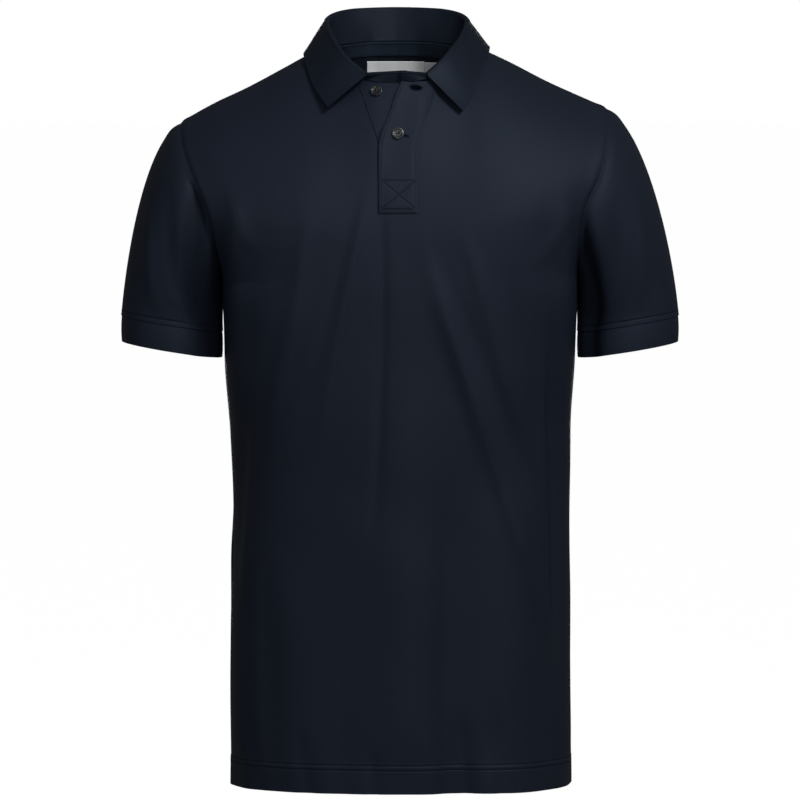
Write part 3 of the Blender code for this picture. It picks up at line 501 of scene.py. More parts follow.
# seams, side creases, the hem's thickness and waves, and a slow unevenness that fades at the edges
def finerForm(grid, normals, face):
    x, z = grid[..., 0], grid[..., 2]
    across, up = runAlong(grid, 1), runAlong(grid, 0)
    fromTop, height = up[-1:] - up, z - body["hem"]
    shoulderOnly = np.zeros(grid.shape[1])
    shoulderOnly[:armColumns] = shoulderOnly[-armColumns:] = 1.0
    rise = seamRise(across) + seamRise(across[:, -1:] - across) + seamRise(fromTop) * shoulderOnly
    rise = rise + creaseRise(x, z, sideCreases[face])
    loose = panel["hemRise"] * (1 - easeOf((height - panel["hemTop"]) / panel["hemEase"] + 0.5))
    loose = loose + hemSine(across, height, hemWaves, face == "back") + hemSine(across, height, hemPucker)
    slow = sum(weight * np.sin(turnX * x + turnZ * z + sway * np.sin(swayX * x + swayZ * z))
               for weight, turnX, turnZ, sway, swayX, swayZ in slowSwells)
    loose = loose + panel["slow"] * slow * np.clip(fromTop, 0.0, panel["slowFrom"]) / panel["slowFrom"]
    calm = bell(across, panel["seamCalm"]) + bell(across[:, -1:] - across, panel["seamCalm"])
    return grid + normals * (rise + loose * (1 - calm))[..., None]


# creases in the turn towards the sides, laid along the surface's normal
sideCreases = {
    "front": (
        (149, -260, 159, -650, 3, 7.5, -9.5, 1),
        (-150, -330, -166, -580, -3, 6.5, -4, 1),
        (160, -130, 164, -390, 2, 11, 5.2, 1),
        (-160, -130, -163, -390, -2, 11, 5.6, 1),
        (-172, -130, -135, -215, -6, 6, 1.4, 1.4),
        (170, -150, 128, -225, 6, 7, 1.2, 0.8),
    ),
    "back": (
        (140, -330, 160, -560, 5, 9, -3, 1),
        (-142, -300, -162, -520, -5, 8, -3.5, 1),
        (150, -170, 156, -340, 3, 12, 2.6, 1),
        (-150, -170, -156, -340, -3, 12, 2.6, 1),
    ),
}

# sleeves: the seam with the cuff is an ellipse, and the ways say how the cloth leaves the armhole
# and reaches that seam, in shares of its length: plain, growing towards the shoulder, and aside
sleeve = {
    "outer": (0.2785, -0.2727), "inner": (0.1768, -0.2885), "depth": -0.003, "halfDepth": 0.058,
    "rows": 84, "edgeRows": (0.006, 0.013, 0.022), "topPower": 1.5, "leaveDepth": -0.22, "arriveDepth": 0.02,
    "puff": 0.0012, "puffAt": 0.011, "puffHalfWidth": 0.008, "overhang": 0.0002, "overhangHalfWidth": 0.003,
    "foldFrom": 0.007, "riseFrom": 0.001,
}
sleeveWays = {
    "leaveOut": (0.10, 0.42, 0.20), "leaveDown": (-0.95, 0.70, 0.10),
    "arriveOut": (-0.04, 0.12, 0.00), "arriveDown": (-0.95, 0.00, 0.00),
}
# creases: turn and share down the sleeve of both ends, half width as a turn, and rise in metres; turn 0
# is the underarm, 0.25 the front, 0.5 the shoulder tip and 0.75 the back
sleeveCreases = {
    "right": (
        (0.34, 0.20, 0.23, 0.80, 0.035, -0.0040),
        (0.40, 0.38, 0.29, 0.95, 0.030, 0.0026),
        (0.34, -0.60, 0.085, 1.30, 0.050, -0.0145),
        (0.66, 0.20, 0.80, 0.70, 0.050, -0.0035),
        (0.58, 0.35, 0.70, 0.90, 0.035, 0.0022),
    ),
    "left": (
        (0.30, 0.18, 0.20, 0.75, 0.038, -0.0036),
        (0.37, 0.30, 0.28, 0.92, 0.030, 0.0024),
        (0.185, -0.32, 0.084, 1.30, 0.045, -0.0120),
        (0.68, 0.22, 0.80, 0.75, 0.045, -0.0032),
        (0.60, 0.30, 0.72, 0.85, 0.035, 0.0024),
    ),
}
cuff = {"height": 0.0262, "step": 0.0006, "drop": (0.0008, -1), "rows": 12, "puff": 0.0006, "puffPower": 0.8}


# cubic rings from the armhole's points to the cuff's ellipse, then the creases that run down them
def sleeveRings(side, hole):
    sign, half = signOf(side), len(hole) // 2
    steps = lengthsOf(np.roll(hole, -1, axis=0) - hole)[:, 0]
    front = np.concatenate(([0.0], np.cumsum(steps[:half])))
    rear = np.concatenate(([0.0], np.cumsum(steps[half:])))
    turn = np.concatenate((0.5 * front / front[-1], 0.5 + 0.5 * rear[1:-1] / rear[-1]))
    angle = 2 * np.pi * turn
    (outerX, outerZ), (innerX, innerZ) = sleeve["outer"], sleeve["inner"]
    end = np.stack((
        sign * ((outerX + innerX) / 2 - (outerX - innerX) / 2 * np.cos(angle)),
        sleeve["depth"] - sleeve["halfDepth"] * np.sin(angle),
        (outerZ + innerZ) / 2 - (outerZ - innerZ) / 2 * np.cos(angle)), axis=-1)
    top, aside = ((1 - np.cos(angle)) / 2) ** sleeve["topPower"], np.sin(angle)
    parts = np.stack((np.ones_like(top), top, aside**2))
    way = {key: np.asarray(value) @ parts for key, value in sleeveWays.items()}
    leave, arrive = (
        np.stack((sign * way[key + "Out"], sleeve[key + "Depth"] * aside, way[key + "Down"]), axis=-1)
        * lengthsOf(end - hole) for key in ("leave", "arrive"))
    edge = sleeve["edgeRows"]
    shares = np.concatenate(((0.0,), edge, np.linspace(edge[-1], 1.0, sleeve["rows"] + 1)[1:]))
    down = shares[:, None, None]
    rings = (hole * (1 + 2 * down) * (1 - down) ** 2 + end * down**2 * (3 - 2 * down)
             + leave * down * (1 - down) ** 2 - arrive * down**2 * (1 - down))
    centre = rings.mean(axis=1, keepdims=True)
    outward = unit((rings - centre) * (1, 1, 0))
    run = runAlong(rings, 0)
    fold = sleeveRise(side, turn, down[:, :, 0]) * easeOf(run / sleeve["foldFrom"])
    rings = rings + outward * fold[..., None]
    rise = sleeve["puff"] * top * bell(run - sleeve["puffAt"], sleeve["puffHalfWidth"])
    rise = rise - panel["seamDip"] * bell(run, panel["seamHalfWidth"])
    rise = rise + sleeve["overhang"] * bell(run[-1:] - run, sleeve["overhangHalfWidth"])
    fade = np.clip(run / sleeve["riseFrom"], 0.0, 1.0)
    return (rings + outward * (rise * fade)[..., None])[::-1]


# each crease is a bell across its slanted line, fading to both ends
def sleeveRise(side, turn, down):
    total = np.zeros(np.broadcast(turn, down).shape)
    for turn0, down0, turn1, down1, halfWidth, rise in sleeveCreases[side]:
        share = np.clip((down - down0) / (down1 - down0), 0.0, 1.0)
        aside = (turn - turn0 - (turn1 - turn0) * share + 0.5) % 1.0 - 0.5
        total = total + rise * np.sin(np.pi * share) * bell(aside, halfWidth)
    return total


# a face's column on the wearer's right or left side seam
def outerColumn(face, side):
    return 0 if (face == "front") == (side == "right") else -1


# armhole seam: up the front from the underarm point to the tip, and down the back
def holeValues(made, key, side):
    rise, fall = (made[face][key][lowerCount:, outerColumn(face, side)] for face in ("front", "back"))
    return np.concatenate((rise, fall[-2:0:-1]))


# points, normals and inward steps of the panels and the sleeves, which share their armhole seams
def makeBodyAndSleeves():
    made, wall = {}, cloth["bodyWall"]
    for face in ("front", "back"):
        points, normals = panelGrid(face)
        made[face] = {"points": points, "normals": normals, "inward": -normals * wall}
    for side in ("right", "left"):
        hole, own = holeValues(made, "points", side), holeValues(made, "normals", side)
        rings = sleeveRings(side, hole)
        normals = gridNormals(rings, wrap=True) * signOf(side)
        normals[-1, 0, 1] = 0.0
        shared = unit(own + unit(normals[-1]))
        inward = -normals * wall
        inward[-1] = mitre(normals[-1], shared, wall)
        rings[0, :, 2] += cloth["seamGap"] / 2
        order = slice(None, None, -1 if side == "right" else 1)
        made[side] = {"points": rings[:, order], "normals": normals[:, order], "inward": inward[:, order]}
        steps = mitre(own, shared, wall)
        for face, ordered in (("front", steps), ("back", np.roll(steps[::-1], 1, axis=0))):
            seam = made[face]["inward"][lowerCount:, outerColumn(face, side)]
            seam[:] = ordered[:len(seam)]
    return made


def makeSleeve(side, made):
    rings, steps = made[side]["points"], made[side]["inward"]
    makeCloth("sleeve." + side, rings, steps, "sleeve", "pique", "sleeve_" + side, wrap=True)


# band below a sleeve: the seam's ring carried down, slightly rounded, and folded at its lower edge
def makeCuff(side, made):
    outward = unit(made[side]["normals"][0] * (1, 1, 0))
    shares = evenly(cuff["rows"])[::-1, None, None]
    out, down = cuff["drop"]
    fall = np.array((signOf(side) * out, 0.0, down)) * cuff["height"]
    ring = made[side]["points"][0].copy()
    ring[:, 2] -= cloth["seamGap"] / 2
    grid = ring - outward * (cuff["step"] + sleeve["overhang"]) + fall * shares
    grid = grid + outward * cuff["puff"] * np.sin(np.pi * shares) ** cuff["puffPower"]
    grid[-1, :, 2] -= cloth["seamGap"] / 2
    inward = np.broadcast_to(-outward * cloth["cuffWall"], grid.shape)
    makeCloth("cuff." + side, grid, inward, "pique", "pique", "cuff_" + side, wrap=True)


# collar, from the centre back (share 0) to the leaf's front edge (share 1): fold line and lower edge,
# each as distance from the neck's middle, depth and height
collar = {
    "share": (0.00, 0.22, 0.42, 0.56, 0.70, 0.85, 1.00),
    "foldOut": mm(0, 40, 64.5, 70.5, 65, 52.6, 30),
    "foldDepth": mm(68, 57.5, 29, -2, -37, -66, -81.5),
    "foldHeight": mm(33.5, 32.5, 27.8, 21.5, 9, -9.5, -28.5),
    "edgeOut": mm(0, 47, 80.5, 92.5, 88.2, 80.8, 68.4),
    "edgeDepth": mm(77.5, 67.5, 39, -10, -43, -68, -91),
    "edgeHeight": mm(-9, -9.5, -10.5, -13.5, -29, -44, -62),
    "rest": 0.0055, "foldRadius": 0.003, "bow": 0.0004, "tongueColumns": 13,
    "tongueFold": {"right": mm(-9, -88, -26.2), "left": mm(4, -92, -26.2)},
    "tongueBase": {"right": -0.0085, "left": 0.0042}, "tongueLift": 0.0030, "curl": 0.0010,
    "standRows": 12, "arcRows": 14, "leafRows": 26,
    "bowSwing": 0.25, "bowLength": 0.021, "bowPhase": 0.6, "curlPower": 7,
}
# what the leaf on the wearer's left adds to those
collarLeft = {
    "share": (0.00, 0.56, 0.70, 0.85, 1.00),
    "foldOut": mm(0, 0, 0, -3, -1),
    "edgeOut": mm(0, 0, -3, -3, -4),
    "edgeHeight": mm(0, 0, 0, -1, -3.5),
}


# neck seam from the wearer's right tongue end, round the back, to the left tongue end
def neckBase(made):
    first, neck = armColumns, panel["neckColumns"]

    def tongue(side, shares):
        near = body["neckCentre"] + signOf(side) * collar["tongueBase"][side]
        far = slitEdge(side, topHeight("neck" + side.title(), np.zeros(1), "front"))[0]
        x = far + (near - far) * shares
        lift = 0.0 if side == "right" else collar["tongueLift"] * np.minimum(shares * 2, 1.0)
        return bodyPoint(x, necklineHeight(x, "front"), "front", lift)

    shares = evenly(collar["tongueColumns"])[1:]
    ends = zip(tongue("right", shares[::-1]), tongue("left", shares))
    lines = []
    for key, (right, left) in zip(("points", "normals"), ends):
        front, back = made["front"][key][-1, ::-1], made["back"][key][-1, ::-1]
        last = len(front) - first
        lines.append(np.concatenate((
            right, front[last - neck:last + 1], back[first:-first], front[first - 1:first + neck], left)))
    return lines


# a stand up from the neck seam, a round fold over the top and a leaf down to its free edge
def makeCollar(made):
    base, baseNormals = neckBase(made)
    count, ends = len(base), collar["tongueColumns"]
    middlePoint = np.array((body["neckCentre"], 0.0, 0.0))

    def outwardOf(line):
        along = unit(np.gradient(line, axis=0) * (1, 1, 0))
        side = np.stack((-along[:, 1], along[:, 0], np.zeros(count)), axis=-1)
        return along, side * np.where(np.sum(side * (line - middlePoint), axis=-1) < 0, -1, 1)[:, None]

    tangent, outward = outwardOf(base)
    shared = unit(baseNormals + outward)
    across = mitre(baseNormals, shared, cloth["bodyWall"])
    run = runAlong(base, 0)
    start, end = run[ends], run[count - 1 - ends]
    share = np.abs(run - (start + end) / 2) / ((end - start) / 2)
    onLeft = np.where(run < (start + end) / 2, 0.0, 1.0)
    extra = np.clip((share - 1) / (np.where(onLeft > 0, share[-1], share[0]) - 1), 0.0, 1.0)

    # the tables, mirrored past the centre back so that the lines cross it smoothly
    places = (-collar["share"][1], *collar["share"])

    def place(key):
        values = []
        for name, mirrored in (("Out", -1), ("Depth", 1), ("Height", 1)):
            table = collar[key + name]
            value = smoothCurve(share, places, (mirrored * table[1], *table))
            if key + name in collarLeft:
                value = value + onLeft * smoothCurve(share, collarLeft["share"], collarLeft[key + name])
            values.append(value)
        if key == "fold":
            values = [value + (right + (left - right) * onLeft - value) * extra
                      for value, right, left in zip(values, *collar["tongueFold"].values())]
        out, depth, height = values
        return np.stack((body["neckCentre"] + (2 * onLeft - 1) * out, depth, height), axis=-1)

    crest, edge = place("fold"), place("edge")
    edge[:, 2] = np.maximum(edge[:, 2], bodyHeight(edge[:, 0], edge[:, 1]) + collar["rest"])
    side = outwardOf(crest)[1]
    up, radius = np.array((0.0, 0.0, 1.0)), collar["foldRadius"]
    hub = crest - up * radius
    foot, lower, upper = base + across, hub - side * radius, hub + side * radius
    stand = evenly(collar["standRows"])[:-1, None, None]
    turn = np.pi * evenly(collar["arcRows"])[:, None, None]
    leaf = evenly(collar["leafRows"])[1:, None, None]
    bow = collar["bow"] * 4 * leaf * (1 - leaf) * bowShare(run, share)[:, None]
    grid = np.concatenate((
        foot + (lower - foot) * stand,
        hub + radius * (up * np.sin(turn) - side * np.cos(turn)),
        upper + (edge - upper) * leaf + side * (bow + collar["curl"] * leaf ** collar["curlPower"])))
    normals = gridNormals(grid)
    if np.sum(normals[1] * (middlePoint - grid[1])) < 0:
        normals = -normals
    inward = -normals * cloth["collarWall"]
    inward[0] = -across
    lean = unit(np.cross(tangent, shared))
    grid[0] += lean * np.where(lean[:, 2:] < 0, -1.0, 1.0) * cloth["seamGap"]
    keep = np.ones((len(grid) - 1, count - 1), bool)
    overTop = collar["standRows"] + collar["arcRows"] // 2
    keep[overTop:, :ends] = keep[overTop:, -ends:] = False
    makeCloth("collar.rib", grid, inward, "rib", "rib", "collar", keep, middle=count // 2)
    return across


# the leaf's bow differs slightly along its length, as cloth that was pressed by hand
def bowShare(run, share):
    swing = np.sin(run / collar["bowLength"] + collar["bowPhase"])
    return 1 + collar["bowSwing"] * swing * np.clip(share * 2, 0.0, 1.0)


# the panels' top edges take the collar's inward steps, and the front keeps its slit open
def makePanels(made, across):
    first, neck = armColumns, panel["neckColumns"]
    columns = len(made["front"]["points"][0])
    start = collar["tongueColumns"]
    right, middle, left = np.split(across[start:-start], (neck + 1, -neck - 1))
    made["front"]["inward"][-1, first - 1:first + neck] = right[::-1]
    made["front"]["inward"][-1, columns - first - neck:columns - first + 1] = left[::-1]
    made["back"]["inward"][-1, first - 1:1 - first] = np.concatenate((right[-1:], middle, left[:1]))[::-1]
    keep = np.ones((len(made["front"]["points"]) - 1, columns - 1), bool)
    slitStart = first - 1 + neck
    keep[lowerCount + panel["chestRows"]:, slitStart:slitStart + panel["slitColumns"]] = False
    for face, kept in (("front", keep), ("back", None)):
        points, steps = made[face]["points"], made[face]["inward"]
        makeCloth(face + ".panel", points, steps, "body", "pique", face, kept, middle=len(points[0]) // 2)


# strips that lie on a panel: grid shares, then x and z inside four edges given as functions
def stripPlaces(edges, up, over):
    right, left, top, bottom = edges
    up, over = up[:, None], over[None, :]
    z = top(np.zeros((len(up), over.shape[1])))
    for step in range(8):
        x = right(z) + (left(z) - right(z)) * over
        z = bottom(x) + (top(x) - bottom(x)) * up
    return x, z


# an edge that keeps one place or height
def level(height):
    return lambda other: height + 0 * other


# top placket: its wall thins towards the sewn edge and the lower end, its folded edge is fuller
topPlacket = {
    "rows": 262, "columns": 72, "thinnest": 0.0004, "thinOver": 0.0080, "puff": 0.0007, "puffAt": 0.0018,
    "puffHalfWidth": 0.0022, "proud": 0.0016, "proudHalfWidth": 0.010, "stitchIn": 0.0024, "seamIn": 0.0018,
    "boxTop": -0.1345, "boxEnd": -0.1626, "groove": 0.00055, "grooveHalfWidth": 0.0007,
    "sewnProud": 0.3, "freeOver": 0.02, "stitchEnd": 0.004, "stitchTop": 0.02,
}
underPlacket = {"rows": 60, "columns": 20, "stitchIn": 0.0012, "stitchTop": -0.03, "leastShown": 0.006}

# buttonholes in the top placket; open is how far each lip stands from the middle
buttonholes = (
    {"x": 0.0153, "z": -0.0440, "halfLength": 0.0058, "open": 0.0021, "tilt": -0.10},
    {"x": 0.0012, "z": -0.0898, "halfLength": 0.0068, "open": 0.0003, "tilt": -0.26},
)
buttonhole = {
    "halfCell": 0.0003, "spread": 0.0040, "tiltSpread": 0.012, "stitches": 30, "stitchWidth": 0.0013,
    "barWidth": 0.0010, "barStitches": 4, "barHalf": 0.00143, "threadWidth": 0.00034,
}

topEdges = (
    lambda z: placket["right"] + opened(z),
    lambda z: placket["left"] + opened(z),
    lambda x: necklineHeight(x, "front") - cloth["seamGap"],
    level(placket["end"]),
)
underEdges = (
    lambda z: placket["right"] - opened(z) + cloth["seamGap"],
    lambda z: np.minimum(
        np.maximum(placket["left"] - opened(z), placket["right"] + opened(z) + underPlacket["leastShown"]),
        placket["left"] - placket["lap"] + opened(z) - cloth["seamGap"]),
    lambda x: necklineHeight(x, "front") - cloth["seamGap"],
    level(placket["slitEnd"] + cloth["seamGap"]),
)


# wall of the top placket at a place
def topPlacketWall(x, z):
    thin = np.minimum(topEdges[1](z) - x, z - placket["end"]) / topPlacket["thinOver"]
    thin = np.sin(np.clip(thin, 0.0, 1.0) * np.pi / 2)
    return topPlacket["thinnest"] + (cloth["placketWall"] - topPlacket["thinnest"]) * thin


# distance of places from the straight line between two corners
def lineDistance(x, z, first, second):
    wayX, wayZ = second[0] - first[0], second[1] - first[1]
    share = np.clip(((x - first[0]) * wayX + (z - first[1]) * wayZ) / (wayX**2 + wayZ**2), 0.0, 1.0)
    return np.hypot(x - first[0] - wayX * share, z - first[1] - wayZ * share)


# ends of the box's level lines and of its crossed ones
def boxLines():
    right, left = placket["right"] + topPlacket["stitchIn"], placket["left"] - topPlacket["seamIn"]
    corners = [(x, topPlacket[z]) for z in ("boxTop", "boxEnd") for x in (right, left)]
    return [(corners[first], corners[second]) for first, second in ((0, 1), (2, 3), (0, 3), (1, 2))]


# lift of the outer surface over the front: the folded edge is full and stands a little proud, and the
# cloth sinks along every stitch line
def topPlacketLift(x, z):
    inside = x - topEdges[0](z)
    puff = topPlacket["puff"] * bell(inside - topPlacket["puffAt"], topPlacket["puffHalfWidth"])
    free = np.clip((z - topPlacket["boxTop"]) / topPlacket["freeOver"], 0.0, 1.0)
    share = topPlacket["sewnProud"] + (1 - topPlacket["sewnProud"]) * free
    proud = topPlacket["proud"] * bell(inside, topPlacket["proudHalfWidth"]) * share
    grooves = [bell(inside - topPlacket["stitchIn"], topPlacket["grooveHalfWidth"])]
    grooves += [bell(lineDistance(x, z, *line), topPlacket["grooveHalfWidth"]) for line in boxLines()]
    groove = topPlacket["groove"] * np.max(np.broadcast_arrays(*grooves), axis=0)
    return cloth["seamGap"] + topPlacketWall(x, z) + puff + proud - groove


# point and normal on the top placket, with the lift of another height if that is given
def placketPoint(x, z, liftAt=None):
    return bodyPoint(x, z, "front", topPlacketLift(x, z if liftAt is None else liftAt))


def makeTopPlacket():
    rows = np.linspace(placket["end"], necklineHeight(0.0, "front"), topPlacket["rows"] + 1)
    cuts, half = [], buttonhole["halfCell"]
    for hole in buttonholes:
        row = int(np.argmin(np.abs(rows - hole["z"])))
        rows[row], rows[row + 1] = hole["z"] - half, hole["z"] + half
        cuts.append(row)
    x, z = stripPlaces(topEdges, (rows - rows[0]) / (rows[-1] - rows[0]), evenly(topPlacket["columns"]))
    keep = np.ones((topPlacket["rows"], topPlacket["columns"]), bool)
    for hole, row in zip(buttonholes, cuts):
        aside, above = x - hole["x"], z - hole["z"]
        lens = np.sqrt(np.clip(1 - (aside / hole["halfLength"]) ** 2, 0.0, 1.0))
        nearness = np.exp(-np.maximum(np.abs(above) - half, 0.0) / buttonhole["spread"])
        inside = np.abs(aside[row]) < hole["halfLength"]
        keep[row, inside[1:] & inside[:-1]] = False
        z = z + np.sign(above) * hole["open"] * lens * nearness
        z = z + hole["tilt"] * aside * bell(above, buttonhole["tiltSpread"])
    grid, normals = placketPoint(x, z)
    inward = -normals * topPlacketWall(x, z)[..., None]
    makeCloth("placket.top", grid, inward, "pique", "pique", "placket_top", keep)


def makeUnderPlacket():
    x, z = stripPlaces(underEdges, evenly(underPlacket["rows"]), evenly(underPlacket["columns"]))
    grid, normals = bodyPoint(x, z, "front")
    inward = -normals * cloth["placketWall"]
    makeCloth("placket.under", grid, inward, "pique", "pique", "placket_under")


# neck tape and the two blank labels, against the inner surface of the back; a label is given by its
# right, left, top and bottom edge
trim = {
    "tapeDrop": 0.0003, "tapeHeight": 0.0140, "tapeReach": 0.060, "tapeGrid": (10, 110),
    "stitchDrops": mm(1.6, 12.6), "stitchIn": 0.002,
    "label": mm(-34.2, 25.5, -20, -35.2), "labelGrid": (16, 60),
    "sizeTab": mm(25.7, 38.5, -20.8, -34.5), "sizeTabGrid": (14, 14),
    "curl": 0.0004, "curlLength": 0.0085, "curlPower": 4,
}


def tapeEdge(x, drop=0.0):
    return necklineHeight(x, "back") - trim["tapeDrop"] - drop


def makeTrim():
    depth = cloth["bodyWall"] + cloth["trimClear"]
    centre, reach = body["neckCentre"], trim["tapeReach"]
    edges = {name: [level(value) for value in trim[name]] for name in ("label", "sizeTab")}
    edges["tape"] = (level(centre - reach), level(centre + reach), tapeEdge,
                     lambda x: tapeEdge(x, trim["tapeHeight"]))
    for name, finish, node in (("tape", "tape", "neck_tape"), ("label", "satin", "label"),
                               ("sizeTab", "satin", "size_tab")):
        rows, columns = trim[name + "Grid"]
        x, z = stripPlaces(edges[name], evenly(rows), evenly(columns))
        grid, normals = bodyPoint(x, z, "back", -depth)
        if name == "label":
            down = 1 - (z - z[:1]) / (z[-1:] - z[:1])
            sag = trim["curl"] * (np.sin(x / trim["curlLength"]) * down + down ** trim["curlPower"])
            grid = grid - normals * np.maximum(sag, 0.0)[..., None]
        inward = -normals[:, ::-1] * cloth["trimWall"]
        makeCloth("neck." + name, grid[:, ::-1], inward, finish, finish, node)


# buttons turned from a profile, with four holes pressed into the dish
button = {
    "radius": 0.0057, "height": 0.0026, "rows": 59, "turns": 96, "dishEnd": 0.50,
    "share": (0.00, 0.40, 0.52, 0.62, 0.72, 0.82, 0.90, 1.00),
    "out": (0.02, 0.60, 0.72, 0.84, 0.96, 1.00, 0.93, 0.30),
    "up": (0.66, 0.66, 0.78, 1.00, 0.97, 0.72, 0.20, 0.00),
    "holeAt": 0.00095, "holeRadius": 0.00052, "holeDepth": 0.0011, "holeEdge": 0.00007,
    "upper": (-0.0232, -0.0470), "lower": (-0.0022, -0.0890),
    "threads": (-0.00028, 0.0, 0.00028), "threadAt": 0.66, "threadReach": 1.1,
}
thread = {
    "width": 0.00045, "length": 0.0027, "gap": 0.0006, "arch": 0.00022, "sink": 0.00006,
    "steps": 5, "sides": 6, "samples": 80,
}


# a button and the stitches through its holes, three between each pair of them
def makeButton(name, lift):
    centre, normal = bodyPoint(*button[name], "front", lift + cloth["seamGap"])
    share = evenly(button["rows"])[:, None]
    turn = np.linspace(0.0, tau, button["turns"], endpoint=False)[None, :]
    out = smoothCurve(share, button["share"], button["out"]) * button["radius"]
    up = smoothCurve(share, button["share"], button["up"]) * button["height"] + 0 * turn
    x, y = out * np.cos(turn), out * np.sin(turn)
    away = np.hypot(np.abs(x) - button["holeAt"], np.abs(y) - button["holeAt"]) - button["holeRadius"]
    hole = 1 / (1 + np.exp(np.clip(away / button["holeEdge"], -40, 40)))
    up = up - button["holeDepth"] * hole * (share < button["dishEnd"])
    across = unit(np.cross((0.0, 0.0, 1.0), normal))
    along = np.cross(normal, across)
    ring = centre + x[..., None] * across + y[..., None] * along + up[..., None] * normal
    poles = centre + np.array((up[0, 0], 0.0))[:, None] * normal
    index = np.arange(up.size).reshape(up.shape)
    after = np.roll(index, -1, axis=1)
    quads = np.stack((index[:-1], index[1:], after[1:], after[:-1]), axis=-1).reshape(-1, 4)
    top, bottom = up.size + 0 * index[0], up.size + 1 + 0 * index[0]
    caps = np.transpose((top, index[0], after[0])), np.transpose((bottom, after[-1], index[-1]))
    points = np.concatenate((ring.reshape(-1, 3), poles))
    piece = addPiece("button." + name, points, quads.tolist() + np.concatenate(caps).tolist())
    face = centre + normal * button["height"] * button["threadAt"]
    aside = np.add.outer((-button["holeAt"], button["holeAt"]), button["threads"]).ravel()
    middle, half = face + across * aside[:, None], along * button["holeAt"] * button["threadReach"]
    dress(piece, "resin", "resin", "button_" + name)
    return middle - half, middle + half, normal + 0 * middle


# thread: each stitch is a short tube from start to stop, arched along the cloth's normal
def makeStitches(name, stitches, slot="pique", width=thread["width"]):
    starts, stops, normals = (np.concatenate(rows) for rows in zip(*stitches))
    share = np.linspace(0.0, 1.0, thread["steps"])
    bend = np.sin(np.pi * share)
    centre = starts[:, None] + (stops - starts)[:, None] * share[:, None]
    centre = centre + normals[:, None] * (thread["arch"] * bend - thread["sink"])[:, None]
    tangent = unit(stops - starts)
    side = unit(np.cross(tangent, normals))
    lifted = np.cross(side, tangent)
    turn = np.arange(thread["sides"]) * tau / thread["sides"]
    spoke = np.cos(turn)[:, None] * lifted[:, None] + np.sin(turn)[:, None] * side[:, None]
    radius = width / 2 * (0.5 + 0.5 * bend)
    points = centre[:, :, None] + radius[None, :, None, None] * spoke[:, None]
    index = np.arange(points[..., 0].size).reshape(points.shape[:3])
    after = np.roll(index, -1, axis=2)
    quads = np.stack((index[:, :-1], after[:, :-1], after[:, 1:], index[:, 1:]), axis=-1).reshape(-1, 4)
    faces = quads.tolist() + index[:, 0, ::-1].tolist() + index[:, -1].tolist()
    return dress(addPiece(name, points, faces), "thread", slot)


# even stitches along a path that runs on the cloth
def stitchPath(path, normals):
    run = runAlong(path, 0)
    pitch = thread["length"] + thread["gap"]
    first = np.arange(int(run[-1] // pitch)) * pitch + thread["gap"]

    def at(places, values):
        return np.stack([np.interp(places, run, column) for column in values.T], axis=-1)

    middle = unit(at(first + thread["length"] / 2, normals))
    return at(first, path), at(first + thread["length"], path), middle


# points and normals of a grid at a distance up its columns, measured along the cloth
def lineUp(grid, normals, distance):
    run = runAlong(grid, 0)
    above = np.clip((run < distance).sum(axis=0), 1, len(grid) - 1)
    column = np.arange(grid.shape[1])
    low, high = run[above - 1, column], run[above, column]
    share = ((distance - low) / (high - low))[:, None]
    point = grid[above - 1, column] * (1 - share) + grid[above, column] * share
    return point, unit(normals[above - 1, column] * (1 - share) + normals[above, column] * share)


def placketStitches():
    end = topPlacket["stitchEnd"]
    z = np.linspace(topPlacket["boxEnd"], necklineHeight(topPlacket["stitchTop"], "front") - end, 60)
    insets = (topPlacket["stitchIn"], -topPlacket["seamIn"])
    rows = [placketPoint(edge(z) + inset, z) for edge, inset in zip(topEdges, insets)]
    for first, second in boxLines():
        x, z = (np.linspace(start, stop, thread["samples"]) for start, stop in zip(first, second))
        rows.append(placketPoint(x, z))
    z = np.linspace(placket["slitEnd"] + end, necklineHeight(underPlacket["stitchTop"], "front") - end, 50)
    rows.append(bodyPoint(underEdges[0](z) + underPlacket["stitchIn"], z, "front"))
    return makeStitches("placket.stitches", [stitchPath(*row) for row in rows])


# straight stitches up the placket, each from one height to another
def stitchUp(x, low, high, liftAt=None):
    start, normal = placketPoint(x, low, liftAt)
    return start, placketPoint(x, high, liftAt)[0], normal


# close stitches round each buttonhole, with a bar at both ends
def buttonholeStitches():
    rows, width, half = [], buttonhole["stitchWidth"], buttonhole["barHalf"]
    across = np.linspace(-1.0, 1.0, buttonhole["stitches"])
    bar = np.linspace(0.0, buttonhole["barWidth"], buttonhole["barStitches"])
    for hole in buttonholes:
        aside = across * hole["halfLength"]
        lip = hole["open"] * np.sqrt(1 - across**2) + buttonhole["halfCell"]
        for side in (-1, 1):
            near = hole["z"] + side * lip + hole["tilt"] * aside
            rows.append(stitchUp(hole["x"] + aside, near, near + side * width))
        for end in (-1, 1):
            aside = end * (hole["halfLength"] + bar)
            middle = hole["z"] + hole["tilt"] * aside
            rows.append(stitchUp(hole["x"] + aside, middle - half, middle + half, middle))
    return makeStitches("placket.buttonholes", rows, width=buttonhole["threadWidth"])


# heights of the stitch lines above the hem and above the cuff seam
hemLines = (0.0235, 0.0285)
cuffLine = 0.0050


def seamLine(made, name, height):
    return lineUp(made[name]["points"], made[name]["normals"], height)


def hemStitches(made):
    rows = [stitchPath(*seamLine(made, face, height)) for face in ("front", "back") for height in hemLines]
    return makeStitches("hem.stitches", rows)


def sleeveStitches(side, made):
    closed = [np.concatenate((line, line[:1])) for line in seamLine(made, side, cuffLine)]
    return makeStitches("sleeve." + side + ".stitches", [stitchPath(*closed)])


